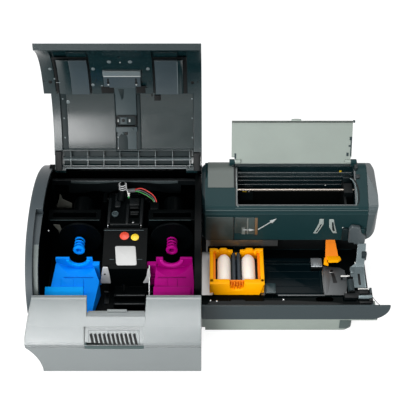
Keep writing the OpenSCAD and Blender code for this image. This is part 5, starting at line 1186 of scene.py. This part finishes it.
# fillers of the narrow gap between the two units; the black one is painted shade
addPiece("gapLip", "slatePlastic", box(-8.7, -3.7, -117.0, -113.6, 28.2, 57.0, 0.4, 0.3))
addPiece("gapBase", "palePlastic", box(-8.7, -3.7, -115.9, 40.0, 8.6, 27.8, 0.4, 0.3))
addPiece("gapShadeFill", "deepBlack", box(-8.7, -3.7, -113.4, -20.6, 28.4, 53.9, 0.4, 0.3),
    box(-8.7, -4.1, -20.0, 14.0, 66.0, 91.0, 0.4, 0.3), box(-8.7, -4.1, -19.6, -12.0, 61.0, 66.0, 0.4, 0.3))
print("front fitted")

# light, floor and camera
studio = {"keyPower": 22, "leftPower": 26, "frontPower": 9, "world": 0.18, "floorSize": 4.0}


def areaLight(name, place, target, width, height, power):
    # a rectangular lamp turned towards its target
    light = bpy.data.lights.new(name, "AREA")
    light.shape, light.size, light.size_y, light.energy = "RECTANGLE", width, height, power
    lamp = bpy.data.objects.new(name, light)
    lamp.location = place
    lamp.rotation_euler = (Vector(target) - Vector(place)).to_track_quat("-Z", "Y").to_euler()
    bpy.context.scene.collection.objects.link(lamp)


areaLight("topSoftbox", (0.0, 0.25, 1.75), (0, 0, 0.1), 1.3, 1.3, studio["keyPower"])
areaLight("leftSoftbox", (-0.78, -1.5, 0.53), (-0.2, 0, 0.3), 0.88, 0.72, studio["leftPower"])
areaLight("frontStrip", (-0.22, -1.28, 1.27), (-0.12, -0.17, 0.09), 1.1, 0.13, studio["frontPower"])

world = bpy.data.worlds.new("studioWorld")
bpy.context.scene.world = world
world.use_nodes = True
air = world.node_tree
background = air.nodes["Background"]
rayKind = air.nodes.new("ShaderNodeLightPath")
seen = addMath(air, "MAXIMUM", rayKind.outputs["Is Camera Ray"], rayKind.outputs["Is Glossy Ray"])
seen = addMath(air, "MAXIMUM", seen, rayKind.outputs["Is Transmission Ray"])
air.links.new(addMath(air, "MULTIPLY_ADD", seen, 1.0 - studio["world"], studio["world"]),
    background.inputs["Strength"])
background.inputs["Color"].default_value = (1, 1, 1, 1)


def makeFloor(size):
    # a white sheet that stays white to the eye and keeps a soft shadow
    half = size / 2
    mesh = bpy.data.meshes.new("floor")
    mesh.from_pydata([(-half, -half, 0), (half, -half, 0), (half, half, 0), (-half, half, 0)], [], [(0, 1, 2, 3)])
    floor = bpy.data.objects.new("floor", mesh)
    bpy.context.scene.collection.objects.link(floor)
    material = bpy.data.materials.new("floorSheet")
    material.use_nodes = True
    tree = material.node_tree
    tree.nodes.clear()
    rays = tree.nodes.new("ShaderNodeLightPath")
    plain = tree.nodes.new("ShaderNodeBsdfDiffuse")
    plain.inputs["Color"].default_value = (0.5, 0.5, 0.5, 1)
    shade = tree.nodes.new("ShaderNodeBsdfDiffuse")
    shade.inputs["Color"].default_value = (0.3, 0.3, 0.3, 1)
    glow = tree.nodes.new("ShaderNodeEmission")
    glow.inputs["Strength"].default_value = 0.86
    both = tree.nodes.new("ShaderNodeAddShader")
    mix = tree.nodes.new("ShaderNodeMixShader")
    end = tree.nodes.new("ShaderNodeOutputMaterial")
    tree.links.new(shade.outputs[0], both.inputs[0])
    tree.links.new(glow.outputs[0], both.inputs[1])
    shown = addMath(tree, "MAXIMUM", rays.outputs["Is Camera Ray"], rays.outputs["Is Glossy Ray"])
    tree.links.new(addMath(tree, "MAXIMUM", shown, rays.outputs["Is Transmission Ray"]), mix.inputs[0])
    tree.links.new(plain.outputs[0], mix.inputs[1])
    tree.links.new(both.outputs[0], mix.inputs[2])
    tree.links.new(mix.outputs[0], end.inputs["Surface"])
    mesh.materials.append(material)


makeFloor(studio["floorSize"])

cameraLook = {"pitch": 46.0, "distance": 1.47, "height": 0.13, "focalPixels": 1050.0, "frameWidth": 416}
lens = bpy.data.cameras.new("camera")
lens.lens = cameraLook["focalPixels"] / cameraLook["frameWidth"] * lens.sensor_width
camera = bpy.data.objects.new("camera", lens)
tilt = radians(cameraLook["pitch"])
camera.location = (0, -cameraLook["distance"] * cos(tilt),
    cameraLook["height"] + cameraLook["distance"] * sin(tilt))
camera.rotation_euler = (pi / 2 - tilt, 0, 0)
bpy.context.scene.collection.objects.link(camera)
bpy.context.scene.camera = camera
bpy.context.scene.view_settings.view_transform = "Standard"

print("all pieces placed")
